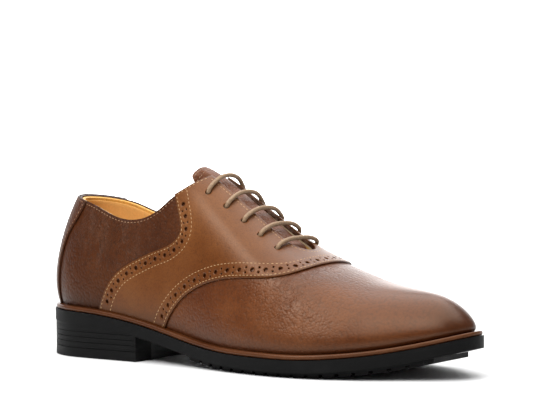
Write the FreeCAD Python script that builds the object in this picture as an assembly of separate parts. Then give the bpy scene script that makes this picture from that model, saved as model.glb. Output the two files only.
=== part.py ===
"""Right-foot men's saddle-oxford golf shoe, built layer by layer on one last surface.

Millimetres.  +X toe, -Y lateral (outer) side, +Z up.  The origin is the bottom centre of the
outsole's length and width.  Lengths along the shoe are written as a station: the distance
forward from the back of the outsole.  The short tables below are pattern-maker's points for
the standard size, and scale with the driving dimensions above them.
"""
import FreeCAD
import Part
import math
import os

V = FreeCAD.Vector

# ---------------------------------------------------------------- driving dimensions
LENGTH = 305.0            # outsole, back of heel to toe tip
BALL_WIDTH = 106.8        # outsole at its widest
HEEL_HEIGHT = 28.6        # floor to the top of the outsole at the back
INSTEP_HEIGHT = 117.5     # floor to the crest at the top of the facings
OUTSOLE_THICK = 7.2
TREAD_THICK = 3.2
TOP_LIFT_THICK = 6.4
WELT_THICK = 3.0
WELT_SHOW = 5.2           # welt visible beyond the upper
LEATHER = 1.5             # vamp, quarters, tongue
OVERLAY = 1.3             # saddle and backstay
STIFFENER = 1.0           # counter, toe puff, facing stays, collar padding
LINING = 1.2
GAP = 0.1                 # glue line between layers
RUNNING_GAP = 0.3         # between the tongue and what it swings past
LACE_D = 2.8
TIP_LENGTH = 10.5
EYELET_HOLE = LACE_D + 1.3
TONGUE_SWING = 10.0       # degrees, downward into the shoe

KL = LENGTH / 305.0
KW = BALL_WIDTH / 106.8
KH = (INSTEP_HEIGHT - 20.0) / 97.5
KZ = HEEL_HEIGHT / 28.6


# ---------------------------------------------------------------- smooth curves
def solve(rows, right):
    """Gaussian elimination for the spline's bending moments."""
    n = len(right)
    a = [rows[i][:] + [right[i]] for i in range(n)]
    for i in range(n):
        k = max(range(i, n), key=lambda r: abs(a[r][i]))
        a[i], a[k] = a[k], a[i]
        for r in range(i + 1, n):
            f = a[r][i] / a[i][i]
            if f:
                for c in range(i, n + 1):
                    a[r][c] -= f * a[i][c]
    x = [0.0] * n
    for i in reversed(range(n)):
        x[i] = (a[i][n] - sum(a[i][c] * x[c] for c in range(i + 1, n))) / a[i][i]
    return x


class Smooth:
    """Cubic curve with continuous curvature through a few points; a period closes it."""

    def __init__(self, points, period=None):
        points = sorted(points)
        self.x = [p[0] for p in points]
        self.y = [p[1] for p in points]
        self.period = period
        n = len(points)
        if period:
            self.x.append(self.x[0] + period)
            self.y.append(self.y[0])
        h = [self.x[i + 1] - self.x[i] for i in range(len(self.x) - 1)]
        rows = [[0.0] * n for _ in range(n)]
        right = [0.0] * n
        inner = range(n) if period else range(1, n - 1)
        if not period:
            rows[0][0] = 1.0
            rows[-1][-1] = 1.0
        for i in inner:
            before = self.y[i - 1] if i else self.y[n - 1]
            rows[i][(i - 1) % n] += h[i - 1]
            rows[i][i] += 2 * (h[i - 1] + h[i])
            rows[i][(i + 1) % n] += h[i]
            right[i] = 6 * ((self.y[i + 1] - self.y[i]) / h[i] - (self.y[i] - before) / h[i - 1])
        self.m = solve(rows, right)
        if period:
            self.m.append(self.m[0])

    def __call__(self, t):
        x, y, m = self.x, self.y, self.m
        if self.period:
            t = (t - x[0]) % self.period + x[0]
        elif t <= x[0]:
            h = x[1] - x[0]
            return y[0] + ((y[1] - y[0]) / h - h * (2 * m[0] + m[1]) / 6) * (t - x[0])
        elif t >= x[-1]:
            h = x[-1] - x[-2]
            return y[-1] + ((y[-1] - y[-2]) / h + h * (2 * m[-1] + m[-2]) / 6) * (t - x[-1])
        lo, hi = 0, len(x) - 1
        while hi - lo > 1:
            k = (lo + hi) // 2
            if x[k] <= t:
                lo = k
            else:
                hi = k
        h = x[hi] - x[lo]
        a = (x[hi] - t) / h
        b = 1 - a
        return a * y[lo] + b * y[hi] + ((a ** 3 - a) * m[lo] + (b ** 3 - b) * m[hi]) * h * h / 6


def ramp(w):
    w = min(1.0, max(0.0, w))
    return w * w * (3 - 2 * w)


# ---------------------------------------------------------------- the sole's outline and profile
LATERAL = [(0, 0), (9, -20), (27, -32), (55, -35.5), (86, -37), (119, -41), (150, -48),
           (180, -54), (206, -55.8), (231, -52), (254, -43.2), (277, -30), (295, -19)]
MEDIAL = [(7, 17.5), (22, 28.5), (45, 32.5), (75, 30.5), (105, 28), (135, 31), (165, 39),
          (195, 48), (220, 51), (245, 47.5), (268, 38.5), (287, 25.5), (300, 13)]


def turn_of(s):
    return math.acos(1 - 2 * s / 305.0) / math.pi


OUTLINE_Y = Smooth([(turn_of(s), y * KW) for s, y in LATERAL]
                   + [(-turn_of(s), y * KW) for s, y in MEDIAL] + [(1.0, 0.0)], period=2.0)
CENTRE_Y = -2.4 * KW


def outline(t, inset=0.0):
    """Point on the outsole's edge: t runs 0 at the back to 1 at the toe, minus = medial side."""
    e = 1e-4

    def at(q):
        return LENGTH * (1 - math.cos(math.pi * q)) / 2, OUTLINE_Y(q)
    s, y = at(t)
    a, b = at(t - e), at(t + e)
    ds, dy = b[0] - a[0], b[1] - a[1]
    n = math.hypot(ds, dy)
    return s - dy / n * inset, y + ds / n * inset


def along(points, k, lift=0.0, kz=KH):
    """Height against station, scaled for the size."""
    return Smooth([(s * KL, 20 + (z - 20) * kz + lift) for s, z in points])


SOLE_TOP = Smooth([(s * KL, OUTSOLE_THICK + TREAD_THICK + (z - 10.4) * (HEEL_HEIGHT - 10.4) / 18.2)
                   for s, z in [(0, 28.6), (45, 27.8), (86, 22.9), (119, 16.4), (143, 12.4),
                                (170, 10.5), (186, 10.3), (214, 10.3), (231, 11.3), (254, 13.7),
                                (277, 17.9), (305, 24.8)]])
CREST = along([(0, 121), (40, 126), (80, 127), (105, 122.8), (120, 117.6), (140, 104.5),
               (160, 89.8), (180, 75.4), (200, 65.2), (215, 59.9), (235, 53.8), (255, 50.3),
               (272, 48.2), (290, 46.6), (305, 44.5)], KL)
TOPLINE = along([(0, 100), (12, 100.5), (28, 98.5), (45, 94.5), (60, 89), (75, 86.5),
                 (88, 88.8), (98, 94.5), (105, 100.3), (112, 104.6), (121, 110.3), (128, 115.2)], KL)
BULGE = Smooth([(s * KL, b) for s, b in [(0, 3.5), (30, 3.0), (70, 1.5), (120, 1.0),
                                         (200, 1.8), (260, 1.8), (305, 1.5)]])
BOXY = Smooth([(s * KL, b) for s, b in [(0, 2.0), (60, 2.0), (120, 2.0), (160, 1.9),
                                        (200, 2.0), (240, 2.1), (305, 2.3)]])
FLAT = Smooth([(s * KL, b) for s, b in [(0, 0), (60, 0), (90, 0.24), (120, 0.47), (155, 0.46),
                                        (190, 0.56), (225, 0.31), (250, 0.1), (270, 0), (305, 0)]])
HEEL_RUN = 90.0 * KL
TOE_RUN = 63.0 * KL
HEEL_INSET = WELT_SHOW - 1.0
TOE_INSET = WELT_SHOW + 0.8
UPPER_LENGTH = LENGTH - HEEL_INSET - TOE_INSET


# ---------------------------------------------------------------- the last surface
def feather_inset(t):
    a = abs(t)
    heel = ramp(1 - a / 0.25)
    toe = ramp((a - 0.72) / 0.28)
    return WELT_SHOW + (HEEL_INSET - WELT_SHOW) * heel + (TOE_INSET - WELT_SHOW) * toe


def crest_station(t):
    """Where the profile from outline position t reaches the crest."""
    s = UPPER_LENGTH * (1 - math.cos(math.pi * abs(t))) / 2
    left = UPPER_LENGTH - s
    if s < HEEL_RUN:
        s = HEEL_RUN / 2 + s * s / (2 * HEEL_RUN)
    elif left < TOE_RUN:
        s = UPPER_LENGTH - TOE_RUN / 2 - left * left / (2 * TOE_RUN)
    return HEEL_INSET + s


def last(side, t, v):
    """Outer face of the vamp leather: t heel to toe, v feather edge (0) to crest (1)."""
    turn = t if side < 0 else -t
    inset = feather_inset(turn)
    s0, y0 = outline(turn, inset)
    s1, y1 = outline(turn, inset - 1)
    out_s, out_y = s1 - s0, y1 - y0
    if t <= 0 or t >= 1:
        y0 = 0.0
        out_y = 0.0
    n = math.hypot(out_s, out_y)
    station = HEEL_INSET + UPPER_LENGTH * (1 - math.cos(math.pi * t)) / 2
    q = math.sin(math.pi * v / 2)
    p = 1.0 if v >= 1 else 1 - math.sqrt(max(0.0, 1 - q ** BOXY(station)))
    peak = 0.30 - 0.10 * ramp((station - 60 * KL) / (60 * KL))
    g = BULGE(station) * (q / peak) * math.exp(1 - q / peak) * (1 - q ** 4)
    s = s0 + (crest_station(t) - s0) * p + out_s / n * g
    y = y0 * (1 - p) + out_y / n * g * (1 - p)
    foot = SOLE_TOP(s0) + WELT_THICK + GAP
    h = 1 - (1 - q) * (1 - FLAT(station) * ramp((q - 0.3) / 0.65))
    return V(s, y, foot * (1 - h) + CREST(s) * h)


def layer(side, t, v, off):
    """Point standing off the last surface; edges on the centre plane stay on it."""
    e = 1e-3
    t0, t1 = max(t - e, 0.0), min(t + e, 1.0)
    v0, v1 = max(v - e, 0.0), min(v + e, 1.0)
    a = last(side, t1, v) - last(side, t0, v)
    b = last(side, t, v1) - last(side, t, v0)
    if v >= 1:
        n = V(-a.z, 0, a.x)
    elif t <= 0 or t >= 1:
        n = V(b.z, 0, -b.x) * (1 if t >= 1 else -1)
    else:
        n = a.cross(b) * (-1 if side > 0 else 1)
    n.normalize()
    return last(side, t, v) + n * off


def place(shape):
    """From stations to the finished frame."""
    moved = shape.copy()
    moved.translate(V(-LENGTH / 2, -CENTRE_Y, 0))
    return moved


# ---------------------------------------------------------------- sheets with thickness
def fitted(points, n_along, n_up):
    """Spline surface through a grid of points, with even parameters so that halves match."""
    along_t = [i / (n_along - 1.0) for i in range(n_along)]
    along_v = [j / (n_up - 1.0) for j in range(n_up)]
    rows = []
    for row in points:
        c = Part.BSplineCurve()
        c.interpolate(Points=row, Parameters=along_v)
        rows.append(c.getPoles())
        knots_v, mults_v = c.getKnots(), c.getMultiplicities()
    columns = []
    for k in range(len(rows[0])):
        c = Part.BSplineCurve()
        c.interpolate(Points=[r[k] for r in rows], Parameters=along_t)
        columns.append(c.getPoles())
        knots_t, mults_t = c.getKnots(), c.getMultiplicities()
    poles = [[col[i] for col in columns] for i in range(len(columns[0]))]
    surface = Part.BSplineSurface()
    surface.buildFromPolesMultsKnots(poles, mults_t, mults_v, knots_t, knots_v, False, False, 3, 3)
    return surface


def skins(side, inner, outer, t0, t1, v0, v1, n_along, n_up):
    """The two faces of a sheet between offsets, which are numbers or functions of (side, t, v)."""
    found = []
    for off in (inner, outer):
        grid = []
        for i in range(n_along):
            t = t0 + (t1 - t0) * i / (n_along - 1.0)
            row = []
            for j in range(n_up):
                v = v0 + (v1 - v0) * j / (n_up - 1.0)
                d = off(side, t, v) if callable(off) else off
                row.append(layer(side, t, v, d))
            grid.append(row)
        found.append(fitted(grid, n_along, n_up))
    return found


def both(inner, outer, t0=0.0, t1=1.0, v0=0.0, v1=1.0, n_along=31, n_up=17):
    """Closed sheet over both sides of the shoe; the halves share their centre-plane edges."""
    faces = []
    for side in (-1, 1):
        a, b = skins(side, inner, outer, t0, t1, v0, v1, n_along, n_up)
        faces += [a.toShape(), b.toShape()]
        faces.append(Part.makeRuledSurface(a.vIso(0.0).toShape(), b.vIso(0.0).toShape()))
        if t0 > 0:
            faces.append(Part.makeRuledSurface(a.uIso(0.0).toShape(), b.uIso(0.0).toShape()))
        if t1 < 1:
            faces.append(Part.makeRuledSurface(a.uIso(1.0).toShape(), b.uIso(1.0).toShape()))
    shell = Part.Shell(faces)
    shell.sewShape()
    solid = Part.Solid(shell)
    solid.fix(1e-4, 1e-4, 1e-3)
    if solid.Volume < 0:
        solid.reverse()
    return solid


# ---------------------------------------------------------------- pattern cuts
def scaled(points):
    return [(s * KL, 20 + (z - 20) * KH) for s, z in points]


def side_cut(curve, closing, side=0):
    """Solid through the shoe, seen from the side: a smooth edge closed by straight lines.

    side -1 keeps the lateral half only, 1 the medial half, 0 runs right through."""
    pts = [V(s, 0, z) for s, z in curve]
    edge = Part.BSplineCurve()
    edge.interpolate(pts)
    ends = [pts[-1]] + [V(s, 0, z) for s, z in closing] + [pts[0]]
    edges = [edge.toShape()]
    for a, b in zip(ends[:-1], ends[1:]):
        edges.append(Part.makeLine(a, b))
    face = Part.Face(Part.Wire(edges))
    lo = 0 if side > 0 else -90
    hi = 0 if side < 0 else 90
    face.translate(V(0, lo, 0))
    return face.extrude(V(0, hi - lo, 0))


def above(curve, start, end, lift=0.0, step=9):
    """Everything over a height curve, between two stations."""
    pts = []
    for i in range(step + 1):
        s = start + (end - start) * i / step
        pts.append((s, curve(s) + lift))
    return side_cut(pts, [(end, 240), (start, 240)])


def plan_prism(inset, z0=-5.0, z1=60.0, t0=-1.0, t1=1.0, n=40):
    """Upright solid on the sole's outline, drawn in by an inset (closed all round)."""
    pts = []
    for i in range(n):
        t = t0 + (t1 - t0) * i / n
        s, y = outline(t, inset)
        pts.append(V(s, y, z0))
    edge = Part.BSplineCurve()
    edge.interpolate(pts, PeriodicFlag=True)
    return Part.Face(Part.Wire([edge.toShape()])).extrude(V(0, 0, z1 - z0))


def ribbon(low, high, start, end, n=16):
    """Band between two height curves, right across the shoe."""
    edges = []
    rows = []
    for curve in (low, high):
        pts = []
        for i in range(n + 1):
            s = start + (end - start) * i / n
            pts.append(V(s, -90, curve(s)))
        c = Part.BSplineCurve()
        c.interpolate(pts)
        edges.append(c.toShape())
        rows.append(pts)
    edges.append(Part.makeLine(rows[0][0], rows[1][0]))
    edges.append(Part.makeLine(rows[0][-1], rows[1][-1]))
    wire = Part.Wire(Part.__sortEdges__(edges))
    return Part.Face(wire).extrude(V(0, 180, 0))


def box(s0, s1, y0, y1, z0, z1):
    return Part.makeBox(s1 - s0, y1 - y0, z1 - z0, V(s0, y0, z0))


def lifted(curve, d):
    return lambda s: curve(s) + d


parts = {}


# ---------------------------------------------------------------- bottom: heel, outsole, tread, welt
HEEL_FRONT = 86.0 * KL
UNDER = lifted(SOLE_TOP, -OUTSOLE_THICK)

outsole = plan_prism(0.0).common(ribbon(UNDER, SOLE_TOP, -12, LENGTH + 12))

heel_profile = plan_prism(0.4, z1=40)
breast = Part.makeCylinder(60 * KL, 80, V(HEEL_FRONT + 57 * KL, -2 * KW, -10))
heel_side = heel_profile.common(box(-20, HEEL_FRONT, -90, 90, -1, 60)).cut(breast)
heel_block = heel_side.common(ribbon(lambda s: TOP_LIFT_THICK, lifted(UNDER, -0.02), -15, HEEL_FRONT + 9))
ring = plan_prism(-2.0).cut(plan_prism(1.0))
for z in (9.6, 12.8, 16.0):
    z = TOP_LIFT_THICK + (z - 6.4) * (HEEL_HEIGHT - OUTSOLE_THICK - TOP_LIFT_THICK) / 15.0
    heel_block = heel_block.cut(ring.common(box(-20, LENGTH, -90, 90, z, z + 0.35)))
heel_top_lift = heel_side.common(box(-20, HEEL_FRONT + 9, -90, 90, 0, TOP_LIFT_THICK - 0.02))
rim = plan_prism(-3.0).cut(plan_prism(1.0))
heel_top_lift = heel_top_lift.cut(rim.common(box(-20, LENGTH, -90, 90, TOP_LIFT_THICK - 0.5, 8)))

# tread: one rubber pad, cut by cross grooves and edge notches
tread = plan_prism(4.6).common(ribbon(lifted(UNDER, -TREAD_THICK), lifted(UNDER, -0.08),
                                      128 * KL, 286 * KL))
s = 137.0 * KL
while s < 283 * KL:
    w = 2.2
    groove = box(s, s + w, -90, 90, -9, 40)
    tread = tread.cut(groove.common(ribbon(lifted(UNDER, -9), lifted(UNDER, -1.4), s - 6, s + 9, n=3)))
    s += 9.0 * KL
for y in (-22, -2, 18):
    slot = box(150 * KL, 270 * KL, y * KW - 1, y * KW + 1, -9, 40)
    tread = tread.cut(slot.common(ribbon(lifted(UNDER, -9), lifted(UNDER, -1.4), 140 * KL, 280 * KL)))

tread = tread.common(box(0, LENGTH, -90, 90, 0, 60))

welt = plan_prism(0.8).cut(plan_prism(WELT_SHOW + 4.4))
welt = welt.common(ribbon(lifted(SOLE_TOP, 0.02), lifted(SOLE_TOP, WELT_THICK), -12, LENGTH + 12))

# inside the bottom: shank, cork, insole board, footbed
shank = ribbon(lifted(SOLE_TOP, 0.2), lifted(SOLE_TOP, 1.6), 48 * KL, 150 * KL)
shank = shank.common(box(48 * KL, 150 * KL, -8, 8, 0, 60))
shank = shank.cut(Part.makeCylinder(2.2, 60, V(58 * KL, 0, 0)))
cork_filler = plan_prism(WELT_SHOW + 5.4).common(
    ribbon(lifted(SOLE_TOP, 0.2), lifted(SOLE_TOP, 2.4), 154 * KL, 290 * KL))
insole_board = plan_prism(WELT_SHOW + 5.0).common(
    ribbon(lifted(SOLE_TOP, 2.6), lifted(SOLE_TOP, 4.9), -12, LENGTH + 12))
footbed = plan_prism(WELT_SHOW + 5.8).common(
    ribbon(lifted(SOLE_TOP, 5.0), lifted(SOLE_TOP, 8.4), -12, LENGTH + 12))

# heel nails hold the block to the insole board
nail_spots = [(24, -16), (24, 14), (44, -20), (44, 18), (66, -20), (66, 16)]
heel_nails = []
for s, y in nail_spots:
    top = SOLE_TOP(s * KL) + 1.9
    nail = Part.makeCylinder(1.0, top - 11.0, V(s * KL, y * KW, 11.0))
    head = Part.makeCylinder(2.6, 0.8, V(s * KL, y * KW, top - 0.8))
    nail = nail.fuse(head)
    heel_nails.append(nail)
nails = Part.makeCompound(heel_nails)
heel_block = heel_block.cut(nails)
outsole = outsole.cut(nails)

parts["outsole"] = outsole
parts["heel_block"] = heel_block
parts["heel_top_lift"] = heel_top_lift
parts["forefoot_tread"] = tread
parts["welt"] = welt
parts["shank"] = shank
parts["cork_filler"] = cork_filler
parts["insole_board"] = insole_board
parts["footbed"] = footbed
parts["heel_nails"] = nails

# ---------------------------------------------------------------- the upper's seams, seen from the side
SADDLE_FRONT = scaled([(104, 12), (107.5, 22), (113.5, 31.5), (123, 41), (137, 48.8), (156, 53.8),
                       (177, 55.0), (194, 56.6), (203.5, 59.8), (209, 64.5), (212, 72)])
SADDLE_REAR = scaled([(50, 20), (54, 31.5), (59, 42.5), (68.5, 54), (84, 62.6), (98, 68.2),
                      (110, 72.8), (116.3, 79.5), (114.2, 89.5), (109, 100), (103.5, 109)])
VAMP_BACK = scaled([(90, 8), (94, 20), (100, 34), (110, 48), (126, 59), (150, 66), (178, 68.5),
                    (194, 71), (205, 80)])
VAMP_LINING_BACK = scaled([(110, 8), (116, 22), (124, 36), (138, 47), (158, 55), (180, 60),
                           (196, 66), (206, 78)])
BACKSTAY_EDGE = scaled([(13, 20), (14.2, 34), (15, 45), (16.4, 56), (19.5, 67), (25, 78),
                        (31, 86), (36, 96), (39, 108)])
STAY_EDGE = scaled([(112, 92), (124, 90), (140, 80), (158, 70), (176, 62), (190, 60), (200, 62)])
COUNTER_EDGE = scaled([(-10, 74), (12, 74), (36, 68), (58, 56), (80, 40), (96, 24), (104, 8)])
PADDING_LOW = scaled([(-10, 79), (12, 79), (34, 76), (52, 71), (74, 68), (92, 73), (104, 80)])
PUFF_EDGE = scaled([(250, 8), (248, 24), (247, 40), (249, 56), (252, 70)])
GRIP_EDGE = scaled([(44, 40), (47, 56), (52, 72), (57, 84), (60, 100)])


def front_of(curve, side=0):
    return side_cut(curve, [(curve[-1][0], 240), (LENGTH + 40, 240), (LENGTH + 40, curve[0][1])], side)


def behind(curve, side=0):
    return side_cut(curve, [(curve[-1][0], 240), (-40, 240), (-40, curve[0][1])], side)


def below(curve, side=0):
    return side_cut(curve, [(curve[-1][0], -20), (curve[0][0], -20)], side)


def over(curve, side=0):
    return side_cut(curve, [(curve[-1][0], 240), (curve[0][0], 240)], side)


MOUTH = above(TOPLINE, -30, 140 * KL, step=14)
FACING_END = 191.0 * KL


def throat(extra=0.0):
    """The open slot between the facings, cut straight down, with a round end."""
    lo = 9.4 * KW + extra
    hi = 10.6 * KW + extra
    end = FACING_END + extra - hi
    a, b = V(90 * KL, -lo, 40), V(end, -hi, 40)
    c, d = V(end, hi, 40), V(90 * KL, lo, 40)
    tip = V(end + hi, 0, 40)
    edges = [Part.makeLine(a, b), Part.Arc(b, tip, c).toShape(), Part.makeLine(c, d),
             Part.makeLine(d, a)]
    return Part.Face(Part.Wire(edges)).extrude(V(0, 0, 120))


# ---------------------------------------------------------------- eyelets
EYELET_STATIONS = [(130.2, 20.3), (143.7, 20.6), (156.7, 21.3), (169, 22.1), (181.5, 22.6)]
MEDIAL_REACH = 0.84       # the medial facing is narrower, because that wall is steeper


def on_last(side, station, across):
    """t and v of the surface point at a station and a distance from the centre plane."""
    t, v = 0.5, 0.8
    for _ in range(25):
        p = last(side, t, v)
        e = 1e-4
        a = (last(side, t + e, v) - p) * (1 / e)
        b = (last(side, t, v + e) - p) * (1 / e)
        rs = station - p.x
        ry = side * across - p.y
        det = a.x * b.y - a.y * b.x
        t = min(0.98, max(0.02, t + (rs * b.y - ry * b.x) / det))
        v = min(0.985, max(0.02, v + (a.x * ry - a.y * rs) / det))
    return t, v


def eyelet_spot(side, k, f=1.0, toward=0.0):
    """Surface point a fraction f of the way from the centre plane to an eyelet."""
    station, across = EYELET_STATIONS[k]
    reach = across * KW * (MEDIAL_REACH if side > 0 else 1.0)
    return on_last(side, station * KL, reach * f + toward)


EYELETS = {}
for side in (-1, 1):
    for k in range(len(EYELET_STATIONS)):
        EYELETS[side, k] = eyelet_spot(side, k)


def eyelet_bore(side, k, radius, low, high):
    t, v = EYELETS[side, k]
    a = layer(side, t, v, low)
    b = layer(side, t, v, high)
    return Part.makeCylinder(radius, (b - a).Length, a, b - a)


BORES = []
for key in EYELETS:
    BORES.append(eyelet_bore(key[0], key[1], EYELET_HOLE / 2, -9.0, 5.0))
BORES = Part.makeCompound(BORES)
WIDE_BORES = Part.makeCompound([eyelet_bore(a, b, 3.2, -9.0, 5.0) for a, b in EYELETS])

# ---------------------------------------------------------------- upper, from the outside in
skin_in, skin_out = -LEATHER, 0.0
mid_out = skin_in - GAP
mid_in = mid_out - STIFFENER
lining_out = mid_in - GAP
lining_in = lining_out - LINING

skin = both(skin_in, skin_out)
vamp = skin.common(front_of(VAMP_BACK)).cut(BORES)
quarter = skin.common(behind([(s - 0.3, z) for s, z in VAMP_BACK])).cut(MOUTH).cut(throat())
quarter = quarter.cut(BORES)
half = {-1: box(-40, LENGTH, -95, -0.1, -10, 200), 1: box(-40, LENGTH, 0.1, 95, -10, 200)}
parts["vamp"] = vamp
parts["lateral_quarter"] = quarter.common(half[-1])
parts["medial_quarter"] = quarter.common(half[1])

overlay = both(GAP, GAP + OVERLAY)
overlay = overlay.cut(ribbon(lifted(SOLE_TOP, -6), lifted(SOLE_TOP, WELT_THICK + 0.05), -12, LENGTH + 12))
saddle = overlay.common(front_of(SADDLE_REAR)).common(behind(SADDLE_FRONT))
saddle = saddle.cut(MOUTH).cut(throat()).cut(BORES)
parts["saddle"] = saddle
parts["backstay"] = overlay.common(behind(BACKSTAY_EDGE)).cut(MOUTH)

middle = both(mid_in, mid_out)
parts["heel_counter"] = middle.common(below(COUNTER_EDGE))
padding = middle.common(over(PADDING_LOW)).common(behind(scaled([(104, 60), (104, 90), (104, 130)])))
parts["collar_padding"] = padding.cut(above(TOPLINE, -30, 140 * KL, lift=-0.4, step=14))
parts["toe_puff"] = middle.common(front_of(PUFF_EDGE))
stay = middle.common(over(STAY_EDGE)).cut(MOUTH).cut(throat(0.3)).cut(WIDE_BORES)
stay = stay.common(box(0, FACING_END - 3, -90, 90, 0, 200))
parts["lateral_facing_stay"] = stay.common(half[-1])
parts["medial_facing_stay"] = stay.common(half[1])

lining = both(lining_in, lining_out)
parts["vamp_lining"] = lining.common(front_of(VAMP_LINING_BACK))
quarter_lining = lining.common(behind([(s - 0.3, z) for s, z in VAMP_LINING_BACK]))
quarter_lining = quarter_lining.cut(above(TOPLINE, -30, 140 * KL, lift=-0.2, step=14))
quarter_lining = quarter_lining.cut(throat()).cut(BORES)
parts["lateral_quarter_lining"] = quarter_lining.common(half[-1])
parts["medial_quarter_lining"] = quarter_lining.common(half[1])
grip = both(lining_in - GAP - 0.8, lining_in - GAP, t1=0.45)
grip = grip.common(behind(GRIP_EDGE)).cut(above(TOPLINE, -30, 140 * KL, lift=-1.5, step=14))
parts["heel_grip"] = grip.common(box(-20, LENGTH, -90, 90, SOLE_TOP(0) + 10, 200))

# hidden metal eyelets, clenched between the facing and its lining
rings = []
for side, k in EYELETS:
    outer_ring = eyelet_bore(side, k, 2.9, mid_in + 0.1, mid_out - 0.4)
    rings.append(outer_ring.cut(eyelet_bore(side, k, EYELET_HOLE / 2, -9, 5)))
parts["blind_eyelets"] = Part.makeCompound(rings)

# ---------------------------------------------------------------- tongue
LACE_ROOM = lining_in - 2 * 0.2 - LACE_D - RUNNING_GAP
TONGUE_TOP = 113.0 * KL
TONGUE_ROOT = 195.0 * KL


def t_at(station):
    """Outline position whose profile meets the crest at a station."""
    lo, hi = 0.0, 1.0
    for _ in range(40):
        k = (lo + hi) / 2
        if crest_station(k) < station:
            lo = k
        else:
            hi = k
    return lo


TONGUE_T0 = t_at(TONGUE_TOP)
TONGUE_T1 = t_at(TONGUE_ROOT)


def tongue_face(depth):
    """The tongue lies below the lace at its sides and crowns up between the facings."""
    def off(side, t, v):
        p = last(side, t, v)
        s, y = p.x / KL, abs(p.y) / KW
        shelf = 2.6 * ramp((14.8 - y) / 2.6) * (1 - ramp((s - 189) / 7))
        crown = 3.3 * ramp((10.2 - y) / 3.4) * (1 - ramp((s - 181) / 9))
        return LACE_ROOM + shelf + crown - depth
    return off


tongue_shape = dict(t0=TONGUE_T0, t1=TONGUE_T1, v0=0.66, v1=1.0, n_along=19, n_up=25)
parts["tongue"] = both(tongue_face(LEATHER), tongue_face(0.0), **tongue_shape)
parts["tongue_lining"] = both(tongue_face(LEATHER + GAP + 0.9), tongue_face(LEATHER + GAP),
                              **tongue_shape)

# ---------------------------------------------------------------- lace
LACE_OUT = GAP + OVERLAY + LACE_D / 2 + 0.15
LACE_IN = lining_in - 0.2 - LACE_D / 2


def outside(side, k):
    t, v = EYELETS[side, k]
    return layer(side, t, v, LACE_OUT + 0.8)


def inside(side, k, toward=0.0):
    """Point under the lining at an eyelet; toward shifts it away from the centre line."""
    t, v = eyelet_spot(side, k, 1.0, toward)
    return layer(side, t, v, LACE_IN)


def bar(k, start):
    """A straight bar across the throat, from one side's eyelet to the other's."""
    pts = []
    for f, up in ((0.55, 0.95), (0.18, 0.3)):
        t, v = eyelet_spot(start, k, f)
        pts.append(layer(start, t, v, LACE_OUT + up))
    for f, up in ((0.18, 0.3), (0.55, 0.95)):
        t, v = eyelet_spot(-start, k, f)
        pts.append(layer(-start, t, v, LACE_OUT + up))
    return [outside(start, k)] + pts + [outside(-start, k)]


def tail(side, k, stations):
    """Free end tucked down the wall and forward along the edge of the footbed."""
    pts = []
    for station, v, in_by in stations:
        t = math.acos(1 - 2 * (station * KL - HEEL_INSET) / UPPER_LENGTH) / math.pi
        pts.append(layer(side, t, v, LACE_IN - in_by))
    return pts


TAIL_A = [(148, 0.53, 0.5), (153, 0.40, 1.1), (164, 0.29, 1.9), (184, 0.23, 2.4), (208, 0.23, 3.0),
          (230, 0.27, 3.8), (249, 0.31, 5.0)]
TAIL_B = [(134, 0.53, 0.5), (139, 0.40, 1.1), (150, 0.29, 1.9), (168, 0.23, 2.4), (192, 0.22, 2.8),
          (216, 0.25, 3.6), (237, 0.30, 5.0)]
SIDE_STEP = LACE_D + 0.5

route = list(reversed(tail(-1, 1, TAIL_A)))
route += [inside(-1, 1)] + bar(1, -1) + [inside(1, 1)]
route += [inside(1, 2, SIDE_STEP), inside(1, 3)] + bar(3, 1) + [inside(-1, 3)]
route += [inside(-1, 4)] + bar(4, -1) + [inside(1, 4)]
route += [inside(1, 3, -SIDE_STEP), inside(1, 2)] + bar(2, 1) + [inside(-1, 2)]
route += [inside(-1, 1, -SIDE_STEP), inside(-1, 0)] + bar(0, -1) + [inside(1, 0)]
route += tail(1, 0, TAIL_B)


def cord_wire(points, tight):
    """Straight runs joined by tangent arcs, as large as the two runs allow."""
    edges = []
    radii = []
    here = points[0]
    for i in range(1, len(points) - 1):
        a = points[i] - points[i - 1]
        b = points[i + 1] - points[i]
        turn = a.getAngle(b)
        run = min(a.Length, b.Length)
        radius = 0.45 * run / math.tan(turn / 2)
        if turn > 0.9:
            radius = min(radius, tight)
        cut = radius * math.tan(turn / 2)
        a.normalize()
        b.normalize()
        p = points[i] - a * cut
        q = points[i] + b * cut
        middle_dir = b - a
        middle_dir.normalize()
        centre = points[i] + middle_dir * (radius / math.cos(turn / 2))
        mid = centre - middle_dir * radius
        edges.append(Part.makeLine(here, p))
        edges.append(Part.Arc(p, mid, q).toShape())
        here = q
        radii.append(round(radius, 1))
    edges.append(Part.makeLine(here, points[-1]))
    return Part.Wire(edges), radii


path, radii = cord_wire(route, 2.6)
print("lace radii", radii)
start_dir = route[1] - route[0]
section = Part.Wire([Part.makeCircle(LACE_D / 2, route[0], start_dir)])
lace = path.makePipeShell([section], True, False)
print("lace length %.1f  volume %.1f  section x length %.1f"
      % (path.Length, lace.Volume, path.Length * math.pi * LACE_D ** 2 / 4))
parts["lace"] = lace
tips = []
for p, q in ((route[0], route[1]), (route[-1], route[-2])):
    d = q - p
    d.normalize()
    tube = Part.makeCylinder(LACE_D / 2 + 0.4, TIP_LENGTH, p - d * 1.0, d)
    tips.append(tube.cut(Part.makeCylinder(LACE_D / 2 + 0.06, TIP_LENGTH, p - d * 0.03, d)))
parts["lace_tips"] = Part.makeCompound(tips)

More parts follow.
